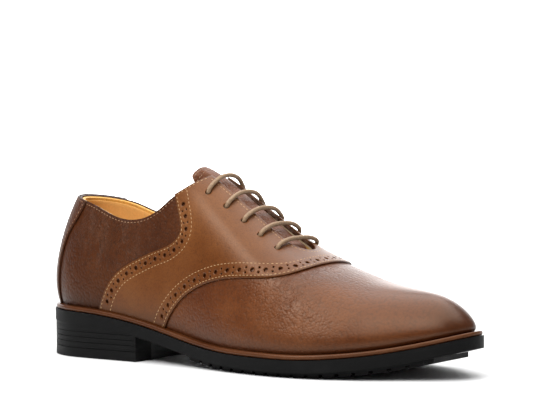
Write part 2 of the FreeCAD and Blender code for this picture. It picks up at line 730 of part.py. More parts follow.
# ---------------------------------------------------------------- write
os.makedirs("parts", exist_ok=True)
for name in parts:
    shape = place(parts[name])
    if shape.ShapeType == "Compound" and len(shape.Solids) == 1:
        shape = shape.Solids[0]
    shape.exportStep("parts/%s.step" % name)
    b = shape.BoundBox
    print("%-24s solids %d valid %s vol %9.1f  x %.1f..%.1f y %.1f..%.1f z %.1f..%.1f" % (
        name, len(shape.Solids), shape.isValid(), shape.Volume,
        b.XMin, b.XMax, b.YMin, b.YMax, b.ZMin, b.ZMax))
hinge = V(TONGUE_ROOT + 2 - LENGTH / 2, -CENTRE_Y, CREST(TONGUE_ROOT) - 19)
print("tongue hinge", hinge)
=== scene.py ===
import bmesh
import bpy
import math
import numpy as np
from mathutils import Matrix, Vector, kdtree


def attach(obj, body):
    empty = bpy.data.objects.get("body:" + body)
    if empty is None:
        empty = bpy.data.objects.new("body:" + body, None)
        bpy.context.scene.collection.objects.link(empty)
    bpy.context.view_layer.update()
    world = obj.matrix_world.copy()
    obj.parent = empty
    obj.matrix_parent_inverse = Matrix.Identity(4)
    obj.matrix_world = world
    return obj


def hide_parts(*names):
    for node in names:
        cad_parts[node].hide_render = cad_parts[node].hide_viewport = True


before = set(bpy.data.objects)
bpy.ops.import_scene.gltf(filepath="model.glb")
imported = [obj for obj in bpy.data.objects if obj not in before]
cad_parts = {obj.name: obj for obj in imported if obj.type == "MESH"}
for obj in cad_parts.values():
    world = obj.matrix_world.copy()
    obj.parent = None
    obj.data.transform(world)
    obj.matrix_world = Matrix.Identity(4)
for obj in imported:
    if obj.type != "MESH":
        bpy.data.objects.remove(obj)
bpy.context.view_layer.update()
RNG = np.random.default_rng(11)

# ------------------------------------------------------------------ the last surface, as in the CAD
LENGTH = 305.0
CENTRE_Y = -2.4
WELT = 3.0
SHOW = 5.2
LEATHER, OVERLAY, STIFF, LINING, GAP = 1.5, 1.3, 1.0, 1.2, 0.1


class Smooth:
    """Cubic through a few points, for arrays; a period closes it."""

    def __init__(self, points, period=None):
        points = sorted(points)
        x = [p[0] for p in points]
        y = [p[1] for p in points]
        n = len(x)
        if period:
            x.append(x[0] + period)
            y.append(y[0])
        x, y = np.array(x, float), np.array(y, float)
        h = np.diff(x)
        a = np.zeros((n, n))
        b = np.zeros(n)
        if not period:
            a[0, 0] = a[-1, -1] = 1
        for i in (range(n) if period else range(1, n - 1)):
            before = y[i - 1] if i else y[n - 1]
            a[i, (i - 1) % n] += h[i - 1]
            a[i, i] += 2 * (h[i - 1] + h[i])
            a[i, (i + 1) % n] += h[i]
            b[i] = 6 * ((y[i + 1] - y[i]) / h[i] - (y[i] - before) / h[i - 1])
        m = np.linalg.solve(a, b)
        self.m = np.append(m, m[0]) if period else m
        self.x, self.y, self.h, self.period = x, y, h, period

    def __call__(self, t):
        t = np.asarray(t, float)
        x, y, m = self.x, self.y, self.m
        if self.period:
            t = (t - x[0]) % self.period + x[0]
        i = np.clip(np.searchsorted(x, t, side="right") - 1, 0, len(x) - 2)
        h = self.h[i]
        u = np.clip(t, x[0], x[-1])
        a = (x[i + 1] - u) / h
        b = 1 - a
        out = a * y[i] + b * y[i + 1] + ((a ** 3 - a) * m[i] + (b ** 3 - b) * m[i + 1]) * h * h / 6
        s0 = (y[1] - y[0]) / self.h[0] - self.h[0] * (2 * m[0] + m[1]) / 6
        s1 = (y[-1] - y[-2]) / self.h[-1] + self.h[-1] * (2 * m[-1] + m[-2]) / 6
        return out + np.where(t < x[0], s0 * (t - x[0]), 0) + np.where(t > x[-1], s1 * (t - x[-1]), 0)


LATERAL = [(0, 0), (9, -20), (27, -32), (55, -35.5), (86, -37), (119, -41), (150, -48),
           (180, -54), (206, -55.8), (231, -52), (254, -43.2), (277, -30), (295, -19)]
MEDIAL = [(7, 17.5), (22, 28.5), (45, 32.5), (75, 30.5), (105, 28), (135, 31), (165, 39),
          (195, 48), (220, 51), (245, 47.5), (268, 38.5), (287, 25.5), (300, 13)]


def turn_of(s):
    return math.acos(1 - 2 * s / LENGTH) / math.pi


OUTLINE_Y = Smooth([(turn_of(s), y) for s, y in LATERAL]
                   + [(-turn_of(s), y) for s, y in MEDIAL] + [(1.0, 0.0)], period=2.0)


def outline(t, inset=0.0):
    e = 1e-4
    s = LENGTH * (1 - np.cos(math.pi * t)) / 2
    y = OUTLINE_Y(t)
    ds = LENGTH * (np.cos(math.pi * (t - e)) - np.cos(math.pi * (t + e))) / 2
    dy = OUTLINE_Y(t + e) - OUTLINE_Y(t - e)
    n = np.hypot(ds, dy)
    return s - dy / n * inset, y + ds / n * inset


SOLE_TOP = Smooth([(0, 28.6), (45, 27.8), (86, 22.9), (119, 16.4), (143, 12.4), (170, 10.5),
                   (186, 10.3), (214, 10.3), (231, 11.3), (254, 13.7), (277, 17.9), (305, 24.8)])
CREST = Smooth([(0, 121), (40, 126), (80, 127), (105, 122.8), (120, 117.6), (140, 104.5),
                (160, 89.8), (180, 75.4), (200, 65.2), (215, 59.9), (235, 53.8), (255, 50.3),
                (272, 48.2), (290, 46.6), (305, 44.5)])
TOPLINE = Smooth([(0, 100), (12, 100.5), (28, 98.5), (45, 94.5), (60, 89), (75, 86.5), (88, 88.8),
                  (98, 94.5), (105, 100.3), (112, 104.6), (121, 110.3), (128, 115.2)])
BULGE = Smooth([(0, 3.5), (30, 3.0), (70, 1.5), (120, 1.0), (200, 1.8), (260, 1.8), (305, 1.5)])
BOXY = Smooth([(0, 2.0), (60, 2.0), (120, 2.0), (160, 1.9), (200, 2.0), (240, 2.1), (305, 2.3)])
FLAT = Smooth([(0, 0), (60, 0), (90, 0.24), (120, 0.47), (155, 0.46), (190, 0.56), (225, 0.31),
               (250, 0.1), (270, 0), (305, 0)])
HEEL_RUN, TOE_RUN = 90.0, 63.0
HEEL_INSET, TOE_INSET = SHOW - 1.0, SHOW + 0.8
UPPER = LENGTH - HEEL_INSET - TOE_INSET


def ramp(w):
    w = np.clip(w, 0, 1)
    return w * w * (3 - 2 * w)


def crest_station(t):
    s = UPPER * (1 - np.cos(math.pi * t)) / 2
    left = UPPER - s
    s = np.where(s < HEEL_RUN, HEEL_RUN / 2 + s * s / (2 * HEEL_RUN),
                 np.where(left < TOE_RUN, UPPER - TOE_RUN / 2 - left * left / (2 * TOE_RUN), s))
    return HEEL_INSET + s


def last(t, w):
    """Outer leather surface. w runs -1 lateral feather edge, 0 crest, 1 medial feather edge."""
    t, w = np.broadcast_arrays(np.asarray(t, float), np.asarray(w, float))
    turn = np.where(w > 0, -t, t)
    v = 1 - np.abs(w)
    inset = SHOW + (HEEL_INSET - SHOW) * ramp(1 - t / 0.25) + (TOE_INSET - SHOW) * ramp((t - 0.72) / 0.28)
    s0, y0 = outline(turn, inset)
    s1, y1 = outline(turn, inset - 1)
    end = (t <= 0) | (t >= 1)
    out_s = s1 - s0
    out_y = np.where(end, 0, y1 - y0)
    y0 = np.where(end, 0, y0)
    n = np.hypot(out_s, out_y)
    station = HEEL_INSET + UPPER * (1 - np.cos(math.pi * t)) / 2
    q = np.sin(math.pi * v / 2)
    p = 1 - np.sqrt(np.clip(1 - q ** BOXY(station), 0, 1))
    peak = 0.30 - 0.10 * ramp((station - 60) / 60)
    g = BULGE(station) * (q / peak) * np.exp(1 - q / peak) * (1 - q ** 4)
    s = s0 + (crest_station(t) - s0) * p + out_s / n * g
    y = y0 * (1 - p) + out_y / n * g * (1 - p)
    foot = SOLE_TOP(s0) + WELT + GAP
    h = 1 - (1 - q) * (1 - FLAT(station) * ramp((q - 0.3) / 0.65))
    return np.stack([s, y, foot * (1 - h) + CREST(s) * h], -1)


def normal(t, w):
    e = 1e-3
    t, w = np.broadcast_arrays(np.asarray(t, float), np.asarray(w, float))
    a = last(np.minimum(t + e, 1), w) - last(np.maximum(t - e, 0), w)
    b = last(t, np.minimum(w + e, 1)) - last(t, np.maximum(w - e, -1))
    n = np.cross(a, b)
    flat = (t <= 0) | (t >= 1)
    lat = w < 0
    n_end = np.stack([b[..., 2], b[..., 0] * 0, -b[..., 0]], -1)
    n_end = n_end * np.where(t >= 1, 1, -1)[..., None] * np.where(lat, 1, -1)[..., None]
    n = np.where(flat[..., None], n_end, n)
    n[..., 1] = np.where(w == 0, 0, n[..., 1])
    n /= np.linalg.norm(n, axis=-1, keepdims=True) + 1e-12
    return n


def to_row(p):
    p = np.asarray(p, float)
    return (p + np.array([-LENGTH / 2, -CENTRE_Y, 0])) / 1000


# ------------------------------------------------------------------ seams, seen from the side
def smooth_curve(points, n=90):
    p = np.array(points, float)
    d = np.r_[0, np.cumsum(np.hypot(*np.diff(p, axis=0).T))]
    u = np.linspace(0, d[-1], n)
    return np.stack([Smooth(list(zip(d, p[:, 0])))(u), Smooth(list(zip(d, p[:, 1])))(u)], 1)


def side_of(curve, s, z):
    """Distance in the side view from a seam, positive towards the toe."""
    a, b = curve[:-1], curve[1:]
    d = b - a
    ll = (d * d).sum(1)
    pts = np.stack([s.ravel(), z.ravel()], 1)
    out = np.empty(len(pts))
    for k in range(0, len(pts), 8000):
        q = pts[k:k + 8000, None, :] - a[None]
        u = np.clip((q * d).sum(2) / ll, 0, 1)
        e = q - u[..., None] * d
        r = np.sqrt((e * e).sum(2))
        j = r.argmin(1)
        i = np.arange(len(j))
        cross = d[j, 0] * q[i, j, 1] - d[j, 1] * q[i, j, 0]
        out[k:k + 8000] = r[i, j] * np.where(cross < 0, 1, -1)
    return out.reshape(s.shape)


SADDLE_FRONT = smooth_curve([(104, 12), (107.5, 22), (113.5, 31.5), (123, 41), (137, 48.8), (156, 53.8),
                             (177, 55.0), (194, 56.6), (203.5, 59.8), (209, 64.5), (212, 72)])
SADDLE_REAR = smooth_curve([(50, 20), (54, 31.5), (59, 42.5), (68.5, 54), (84, 62.6), (98, 68.2),
                            (110, 72.8), (116.3, 79.5), (114.2, 89.5), (109, 100), (103.5, 109)])
VAMP_BACK = smooth_curve([(90, 8), (94, 20), (100, 34), (110, 48), (126, 59), (150, 66), (178, 68.5),
                          (194, 71), (205, 80)])
VAMP_LINING_BACK = smooth_curve([(110, 8), (116, 22), (124, 36), (138, 47), (158, 55), (180, 60),
                                 (196, 66), (206, 78)])
BACKSTAY = smooth_curve([(13, 20), (14.2, 34), (15, 45), (16.4, 56), (19.5, 67), (25, 78),
                         (31, 86), (36, 96), (39, 108)])
SLOT_LO, SLOT_HI, SLOT_END = 9.4, 10.6, 191.0


def slot_gap(p):
    """Distance from the open throat, seen from above, positive on the leather."""
    s, y = p[..., 0], np.abs(p[..., 1])
    centre = SLOT_END - SLOT_HI
    half = SLOT_LO + (SLOT_HI - SLOT_LO) * np.clip((s - 90) / (centre - 90), 0, 1)
    return np.where(s < 80, 60.0, np.where(s < centre, y - half, np.hypot(s - centre, y) - SLOT_HI))


def top_gap(p):
    s, z = p[..., 0], p[..., 2]
    slope = (TOPLINE(s + 0.5) - TOPLINE(s - 0.5))
    d = (TOPLINE(s) - z) / np.sqrt(1 + slope ** 2)
    return np.where(s > 134, 60.0, d)


# ------------------------------------------------------------------ grids, contours and sheets
class Grid:
    def __init__(self, t0, t1, nt, w0, w1, nw):
        self.t, self.w = np.meshgrid(np.linspace(t0, t1, nt), np.linspace(w0, w1, nw), indexing="ij")
        self.p = last(self.t, self.w)
        self.n = normal(self.t, self.w)
        self.shape = self.t.shape

    def side(self, curve):
        return side_of(curve, self.p[..., 0], self.p[..., 2])

    def crossings(self, f, level=0.0):
        """Grid edges crossed by a level: {(cell edge): (i, j, axis, fraction)}."""
        g = f - level
        found = {}
        for axis in (0, 1):
            a = g[:-1, :] if axis == 0 else g[:, :-1]
            b = g[1:, :] if axis == 0 else g[:, 1:]
            ii, jj = np.nonzero((a > 0) != (b > 0))
            fr = a[ii, jj] / (a[ii, jj] - b[ii, jj])
            for i, j, q in zip(ii.tolist(), jj.tolist(), fr.tolist()):
                found[(axis, i, j)] = q
        return found

    def at(self, arr, key, q):
        axis, i, j = key
        a = arr[i, j]
        b = arr[i + 1, j] if axis == 0 else arr[i, j + 1]
        return a * (1 - q) + b * q

    def contour(self, f, level=0.0, mask=None):
        """Chains of (position, normal) along a level of f, where mask is positive."""
        keys = self.crossings(f, level)
        links = {}
        cells = {}
        for key in keys:
            axis, i, j = key
            near = [(i, j), (i, j - 1)] if axis == 0 else [(i, j), (i - 1, j)]
            for c in near:
                if 0 <= c[0] < self.shape[0] - 1 and 0 <= c[1] < self.shape[1] - 1:
                    cells.setdefault(c, []).append(key)
        for c, ks in cells.items():
            if len(ks) == 2:
                links.setdefault(ks[0], []).append(ks[1])
                links.setdefault(ks[1], []).append(ks[0])
        seen = set()
        chains = []
        starts = [k for k in links if len(links[k]) == 1] + list(links)
        for k in starts:
            if k in seen:
                continue
            chain = [k]
            seen.add(k)
            while True:
                nxt = [m for m in links[chain[-1]] if m not in seen]
                if not nxt:
                    break
                chain.append(nxt[0])
                seen.add(nxt[0])
            closed = len(chain) > 3 and chain[0] in links[chain[-1]] and len(links[k]) == 2
            pos = np.array([self.at(self.p, m, keys[m]) for m in chain])
            nor = np.array([self.at(self.n, m, keys[m]) for m in chain])
            ok = np.ones(len(chain), bool)
            if mask is not None:
                ok = np.array([self.at(mask, m, keys[m]) for m in chain]) > 0
            if closed and ok.all():
                pos, nor, ok = (np.concatenate([x, x[:1]]) for x in (pos, nor, ok))
            run = []
            for a in range(len(ok) + 1):
                if a < len(ok) and ok[a]:
                    run.append(a)
                elif run:
                    if len(run) > 3:
                        chains.append((pos[run], nor[run]))
                    run = []
        return chains

    def reach(self, f, limit=26.0):
        """f remeasured as distance over the surface from its own zero line."""
        keys = self.crossings(f)
        if not keys:
            return f
        pts = [self.at(self.p, k, q) for k, q in keys.items()]
        tree = kdtree.KDTree(len(pts))
        for k, q in enumerate(pts):
            tree.insert(q.tolist(), k)
        tree.balance()
        out = f.copy()
        for i, j in zip(*np.nonzero(np.abs(f) < limit)):
            d = tree.find(self.p[i, j].tolist())[2]
            out[i, j] = d if f[i, j] > 0 else -d
        return out


def resample(chain, step, start=0.0):
    """Points, tangents and normals at an even pitch along a contour."""
    pos, nor = chain
    keep = np.r_[True, np.linalg.norm(np.diff(pos, axis=0), axis=1) > 1e-4]
    pos, nor = pos[keep], nor[keep]
    for _ in range(3):
        pos[1:-1] = (pos[:-2] + 2 * pos[1:-1] + pos[2:]) / 4
    d = np.r_[0, np.cumsum(np.linalg.norm(np.diff(pos, axis=0), axis=1))]
    n = max(1, int(round((d[-1] - 2 * start) / step)))
    u = start + (np.arange(n) + 0.5) * (d[-1] - 2 * start) / n

    def get(arr, u):
        return np.stack([np.interp(u, d, arr[:, k]) for k in range(3)], 1)
    p = get(pos, u)
    tan = get(pos, np.minimum(u + 0.4, d[-1])) - get(pos, np.maximum(u - 0.4, 0))
    tan /= np.linalg.norm(tan, axis=1, keepdims=True) + 1e-9
    nn = get(nor, u)
    nn -= (nn * tan).sum(1, keepdims=True) * tan
    nn /= np.linalg.norm(nn, axis=1, keepdims=True)
    return p, tan, nn


def make_mesh(name, verts, faces, smooth=True, attrs=None):
    me = bpy.data.meshes.new(name)
    me.from_pydata(to_row(verts).tolist(), [], faces)
    me.validate()
    if smooth:
        me.shade_smooth()
    for key, val in (attrs or {}).items():
        a = me.attributes.new(key, "FLOAT", "POINT")
        a.data.foreach_set("value", np.asarray(val, dtype=np.float32))
    ob = bpy.data.objects.new(name, me)
    bpy.context.collection.objects.link(ob)
    return ob


def sheet_mesh(name, g, keep, outer, inner, edge=None, lip=0.3):
    """A leather piece: the part of the grid where keep is positive, with thickness and a cut edge.

    outer and inner are offsets in millimetres, numbers or arrays over the grid."""
    outer = np.broadcast_to(np.asarray(outer, float), g.shape)
    inner = np.broadcast_to(np.asarray(inner, float), g.shape)
    dist = keep if edge is None else edge
    keys = g.crossings(keep)
    inside = keep > 0
    index = -np.ones(g.shape, int)
    used = np.zeros(g.shape, bool)
    a = inside[:-1, :-1]
    b = inside[1:, :-1]
    c = inside[1:, 1:]
    d = inside[:-1, 1:]
    full = a & b & c & d
    some = (a | b | c | d)
    used[:] = inside
    near = np.zeros(g.shape, bool)
    near[:-1, :-1] |= some
    near[1:, :-1] |= some
    near[1:, 1:] |= some
    near[:-1, 1:] |= some
    used &= near
    index[used] = np.arange(used.sum())
    base = g.p[used]
    nors = g.n[used]
    dd = np.maximum(dist[used], 0)
    oo, nn_ = outer[used], inner[used]
    ids = {}
    ep, en, eo, ei, ed = [], [], [], [], []
    for k, q in keys.items():
        ids[k] = len(base) + len(ep)
        ep.append(g.at(g.p, k, q))
        en.append(g.at(g.n, k, q))
        eo.append(g.at(outer, k, q))
        ei.append(g.at(inner, k, q))
        ed.append(0.0)
    if ep:
        base = np.concatenate([base, ep])
        nors = np.concatenate([nors, en])
        oo = np.concatenate([oo, eo])
        nn_ = np.concatenate([nn_, ei])
        dd = np.concatenate([dd, ed])
    faces = []
    fi, fj = np.nonzero(full)
    quads = np.stack([index[fi, fj], index[fi + 1, fj], index[fi + 1, fj + 1], index[fi, fj + 1]], 1)
    faces += quads.tolist()
    mi, mj = np.nonzero(some & ~full)
    for i, j in zip(mi.tolist(), mj.tolist()):
        ring = [(i, j), (i + 1, j), (i + 1, j + 1), (i, j + 1)]
        eds = [(0, i, j), (1, i + 1, j), (0, i, j + 1), (1, i, j)]
        poly = []
        for k in range(4):
            if inside[ring[k]]:
                poly.append(int(index[ring[k]]))
            if eds[k] in ids:
                poly.append(ids[eds[k]])
        if len(poly) > 2:
            faces.append(poly)
    # merge the points that lie on the centre plane at heel and toe
    merged = np.arange(len(base))
    plane = np.nonzero(np.abs(base[:, 1]) < 1e-6)[0]
    if len(plane) > 1:
        order = {}
        for k in plane.tolist():
            key = (round(base[k, 0], 3), round(base[k, 2], 3))
            if key in order:
                merged[k] = order[key]
            else:
                order[key] = k
    faces = [[int(merged[v]) for v in f] for f in faces]
    clean = []
    for f in faces:
        r = [v for k, v in enumerate(f) if v != f[k - 1]]
        if len(set(r)) == len(r) and len(r) > 2:
            clean.append(r)
    faces = clean
    live = np.zeros(len(base), bool)
    for f in faces:
        live[f] = True
    remap = np.cumsum(live) - 1
    faces = [[int(remap[v]) for v in f] for f in faces]
    base, nors, oo, nn_, dd = base[live], nors[live], oo[live], nn_[live], dd[live]
    n = len(base)
    drop = lip * np.clip(1 - dd / 1.2, 0, 1) ** 2
    top = base + nors * (oo - drop)[:, None]
    bottom = base + nors * (nn_ + 0.5 * drop)[:, None]
    edges = {}
    for f in faces:
        for k in range(len(f)):
            e = (f[k - 1], f[k])
            edges[e] = True
    wall = [e for e in edges if (e[1], e[0]) not in edges]
    allf = faces + [[v + n for v in reversed(f)] for f in faces]
    allf += [[a_, a_ + n, b_ + n, b_] for a_, b_ in wall]
    verts = np.concatenate([top, bottom])
    rim = np.concatenate([dd, dd])
    return make_mesh(name, verts, allf, attrs={"rim": rim})


def outward(ob):
    """Faces point outwards whatever way the grid ran."""
    bm = bmesh.new()
    bm.from_mesh(ob.data)
    bmesh.ops.recalc_face_normals(bm, faces=bm.faces)
    bm.to_mesh(ob.data)
    bm.free()
    ob.data.shade_smooth()
    mod = ob.modifiers.new("edges", "EDGE_SPLIT")
    mod.split_angle = math.radians(50)
    return ob


def stitches(name, runs, lift, pitch=2.6, length=1.9, radius=0.27, sides=6, sink=0.12):
    """Thread: one short rounded bar a stitch, dipping into the leather at both ends."""
    verts, faces = [], []
    prof = [(-0.5, 0.35, -1.0), (-0.40, 0.85, -0.25), (-0.15, 1.0, 0.0), (0.15, 1.0, 0.0),
            (0.40, 0.85, -0.25), (0.5, 0.35, -1.0)]
    for chain in runs:
        p, tan, nn = resample(chain, pitch, 0.6)
        bi = np.cross(nn, tan)
        for a, t, n, b in zip(p, tan, nn, bi):
            base = len(verts)
            t = t + b * RNG.normal(0, 0.04)
            for u, r, dz in prof:
                c = a + t * (u * length) + n * (lift - sink + dz * radius * 1.3)
                for k in range(sides):
                    ang = 2 * math.pi * k / sides
                    verts.append(c + (b * math.cos(ang) + n * math.sin(ang)) * radius * r)
            for i in range(len(prof) - 1):
                for k in range(sides):
                    m = (k + 1) % sides
                    faces.append([base + i * sides + k, base + i * sides + m,
                                  base + (i + 1) * sides + m, base + (i + 1) * sides + k])
            faces.append([base + k for k in reversed(range(sides))])
            faces.append([base + (len(prof) - 1) * sides + k for k in range(sides)])
    if not verts:
        return None
    return make_mesh(name, np.array(verts), faces)


# ------------------------------------------------------------------ materials
def material(name):
    m = bpy.data.materials.new(name)
    m.use_nodes = True
    nt = m.node_tree
    return m, nt, nt.nodes["Principled BSDF"]


def node(nt, kind, **props):
    n = nt.nodes.new(kind)
    for k, v in props.items():
        if k.startswith("in_"):
            key = k[3:]
            key = int(key) if key.isdigit() else key.replace("_", " ")
            n.inputs[key].default_value = v
        else:
            setattr(n, k, v)
    return n


def ramp_node(nt, src, stops):
    r = node(nt, "ShaderNodeValToRGB")
    while len(r.color_ramp.elements) < len(stops):
        r.color_ramp.elements.new(0.5)
    for e, (pos, col) in zip(r.color_ramp.elements, stops):
        e.position = pos
        e.color = (*col, 1) if len(col) == 3 else col
    nt.links.new(src, r.inputs[0])
    return r


def mix(nt, fac, a, b, kind="MIX"):
    m = node(nt, "ShaderNodeMix", data_type="RGBA", blend_type=kind)
    for sock, val in ((0, fac), (6, a), (7, b)):
        if hasattr(val, "is_linked") or isinstance(val, bpy.types.NodeSocket):
            nt.links.new(val, m.inputs[sock])
        elif isinstance(val, (int, float)):
            m.inputs[sock].default_value = val
        else:
            m.inputs[sock].default_value = (*val, 1)
    return m.outputs[2]


def leather(name, base, dark, light, pebble=1.5, depth=0.10, rough=0.42, crease=0.0,
            spec=0.35, burnish=0.5):
    """Leather: pebbled grain, pore noise, drifting colour, darker at cut edges, painted shade in the grain
    valleys, and a burnish that is partly painted shade near the welt and the toe tip.
    """
    m, nt, bsdf = material(name)
    link = nt.links.new
    co = node(nt, "ShaderNodeTexCoord").outputs["Object"]
    big = node(nt, "ShaderNodeTexNoise", in_Scale=22.0, in_Detail=3.0, in_Roughness=0.55)
    fine = node(nt, "ShaderNodeTexNoise", in_Scale=420.0, in_Detail=4.0, in_Roughness=0.6)
    link(co, big.inputs["Vector"])
    link(co, fine.inputs["Vector"])
    warp = node(nt, "ShaderNodeTexNoise", in_Scale=260.0, in_Detail=2.0)
    link(co, warp.inputs["Vector"])
    sc = node(nt, "ShaderNodeVectorMath", operation="SCALE", in_Scale=0.0012)
    link(warp.outputs["Color"], sc.inputs[0])
    add = node(nt, "ShaderNodeVectorMath", operation="ADD")
    link(co, add.inputs[0])
    link(sc.outputs[0], add.inputs[1])
    cells = node(nt, "ShaderNodeTexVoronoi", feature="SMOOTH_F1", in_Scale=1000.0 / pebble,
                 in_Smoothness=0.35)
    link(add.outputs[0], cells.inputs["Vector"])
    grain = ramp_node(nt, cells.outputs["Distance"], [(0.0, (1, 1, 1)), (0.45, (0.75, 0.75, 0.75)),
                                                     (0.85, (0, 0, 0))])
    tone = ramp_node(nt, big.outputs["Fac"], [(0.32, dark), (0.52, base), (0.72, light)])
    # painted shade: the grain valleys are darkened
    painted_valley_shade = mix(nt, 0.30, tone.outputs[0], grain.outputs[0], "MULTIPLY")
    rim = node(nt, "ShaderNodeAttribute", attribute_name="rim")
    near = node(nt, "ShaderNodeMapRange", in_1=0.0, in_2=2.2, in_3=1.0, in_4=0.0)
    link(rim.outputs["Fac"], near.inputs[0])
    edge = node(nt, "ShaderNodeMath", operation="MULTIPLY", in_1=burnish)
    link(near.outputs[0], edge.inputs[0])
    col = mix(nt, edge.outputs[0], painted_valley_shade, tuple(c * 0.42 for c in dark))
    # burnish and painted shade: darker near the welt and at the toe tip, from the low attribute
    low = node(nt, "ShaderNodeAttribute", attribute_name="low")
    burnish_shade_mix = node(nt, "ShaderNodeMath", operation="MULTIPLY", in_1=0.82)
    link(low.outputs["Fac"], burnish_shade_mix.inputs[0])
    col = mix(nt, burnish_shade_mix.outputs[0], col, tuple(c * 0.45 for c in dark))
    speck = ramp_node(nt, fine.outputs["Fac"], [(0.3, (0.86, 0.86, 0.86)), (0.6, (1, 1, 1))])
    col = mix(nt, 1.0, col, speck.outputs[0], "MULTIPLY")
    link(col, bsdf.inputs["Base Color"])
    rr = node(nt, "ShaderNodeMapRange", in_1=0.3, in_2=0.7, in_3=rough - 0.05, in_4=rough + 0.09)
    link(big.outputs["Fac"], rr.inputs[0])
    plain = node(nt, "ShaderNodeAttribute", attribute_name="plain")
    polish = node(nt, "ShaderNodeMath", operation="MULTIPLY_ADD", in_1=-0.07)
    link(plain.outputs["Fac"], polish.inputs[0])
    link(rr.outputs[0], polish.inputs[2])
    link(polish.outputs[0], bsdf.inputs["Roughness"])
    grained = node(nt, "ShaderNodeMath", operation="MULTIPLY_ADD", in_1=-0.85, in_2=1.0)
    link(plain.outputs["Fac"], grained.inputs[0])
    bsdf.inputs["Specular IOR Level"].default_value = spec
    bsdf.inputs["Specular Tint"].default_value = (1.0, 0.76, 0.58, 1.0)
    bump = node(nt, "ShaderNodeBump", in_Strength=1.0, in_Distance=depth / 1000)
    link(grain.outputs[0], bump.inputs["Height"])
    link(grained.outputs[0], bump.inputs["Strength"])
    b2 = node(nt, "ShaderNodeBump", in_Strength=1.0, in_Distance=0.00004)
    link(fine.outputs["Fac"], b2.inputs["Height"])
    link(bump.outputs[0], b2.inputs["Normal"])
    out = b2.outputs[0]
    if crease:
        wr = node(nt, "ShaderNodeTexNoise", in_Scale=95.0, in_Detail=5.0, in_Roughness=0.62,
                  in_Distortion=1.2)
        st = node(nt, "ShaderNodeMapping")
        st.inputs["Scale"].default_value = (1.25, 1.0, 0.62)
        link(co, st.inputs["Vector"])
        link(st.outputs[0], wr.inputs["Vector"])
        ridg = ramp_node(nt, wr.outputs["Fac"], [(0.42, (1, 1, 1)), (0.5, (0, 0, 0)), (0.58, (1, 1, 1))])
        b3 = node(nt, "ShaderNodeBump", in_Distance=0.0005)
        link(ridg.outputs[0], b3.inputs["Height"])
        bend = node(nt, "ShaderNodeAttribute", attribute_name="flex")
        amount = node(nt, "ShaderNodeMath", operation="MULTIPLY", in_1=crease)
        link(bend.outputs["Fac"], amount.inputs[0])
        link(amount.outputs[0], b3.inputs["Strength"])
        link(out, b3.inputs["Normal"])
        out = b3.outputs[0]
    link(out, bsdf.inputs["Normal"])
    return m


def rubber(name, base=(0.0035, 0.0035, 0.0035), streak=False):
    """Moulded black rubber: fine mould texture, faint scuffed bands."""
    m, nt, bsdf = material(name)
    link = nt.links.new
    co = node(nt, "ShaderNodeTexCoord").outputs["Object"]
    fine = node(nt, "ShaderNodeTexNoise", in_Scale=900.0, in_Detail=3.0)
    link(co, fine.inputs["Vector"])
    mp = node(nt, "ShaderNodeMapping")
    mp.inputs["Scale"].default_value = (0.12, 0.12, 1.0) if streak else (0.6, 0.6, 0.6)
    link(co, mp.inputs["Vector"])
    band = node(nt, "ShaderNodeTexNoise", in_Scale=520.0 if streak else 60.0, in_Detail=3.0)
    link(mp.outputs[0], band.inputs["Vector"])
    tone = ramp_node(nt, band.outputs["Fac"], [(0.3, tuple(c * 0.65 for c in base)), (0.55, base),
                                               (0.78, tuple(c * 2.1 for c in base))])
    link(tone.outputs[0], bsdf.inputs["Base Color"])
    rr = node(nt, "ShaderNodeMapRange", in_1=0.3, in_2=0.7, in_3=0.46, in_4=0.62)
    link(band.outputs["Fac"], rr.inputs[0])
    link(rr.outputs[0], bsdf.inputs["Roughness"])
    bsdf.inputs["Specular IOR Level"].default_value = 0.11
    bump = node(nt, "ShaderNodeBump", in_Strength=0.5, in_Distance=0.00006)
    link(fine.outputs["Fac"], bump.inputs["Height"])
    b2 = node(nt, "ShaderNodeBump", in_Strength=0.8 if streak else 0.2, in_Distance=0.00012)
    link(band.outputs["Fac"], b2.inputs["Height"])
    link(bump.outputs[0], b2.inputs["Normal"])
    link(b2.outputs[0], bsdf.inputs["Normal"])
    return m


def grainy(name, base, light, rough=0.7, scale=300.0, depth=0.1, metal=0.0, stretch=(1, 1, 1)):
    """Cork, board, cloth, suede, thread or plain metal from one noise."""
    m, nt, bsdf = material(name)
    link = nt.links.new
    co = node(nt, "ShaderNodeTexCoord").outputs["Object"]
    mp = node(nt, "ShaderNodeMapping")
    mp.inputs["Scale"].default_value = stretch
    link(co, mp.inputs["Vector"])
    tex = node(nt, "ShaderNodeTexNoise", in_Scale=scale, in_Detail=4.0, in_Roughness=0.6)
    link(mp.outputs[0], tex.inputs["Vector"])
    tone = ramp_node(nt, tex.outputs["Fac"], [(0.35, base), (0.68, light)])
    link(tone.outputs[0], bsdf.inputs["Base Color"])
    rr = node(nt, "ShaderNodeMapRange", in_1=0.3, in_2=0.7, in_3=rough - 0.06, in_4=rough + 0.06)
    link(tex.outputs["Fac"], rr.inputs[0])
    link(rr.outputs[0], bsdf.inputs["Roughness"])
    bsdf.inputs["Metallic"].default_value = metal
    bump = node(nt, "ShaderNodeBump", in_Strength=0.6, in_Distance=depth / 1000)
    link(tex.outputs["Fac"], bump.inputs["Height"])
    link(bump.outputs[0], bsdf.inputs["Normal"])
    return m


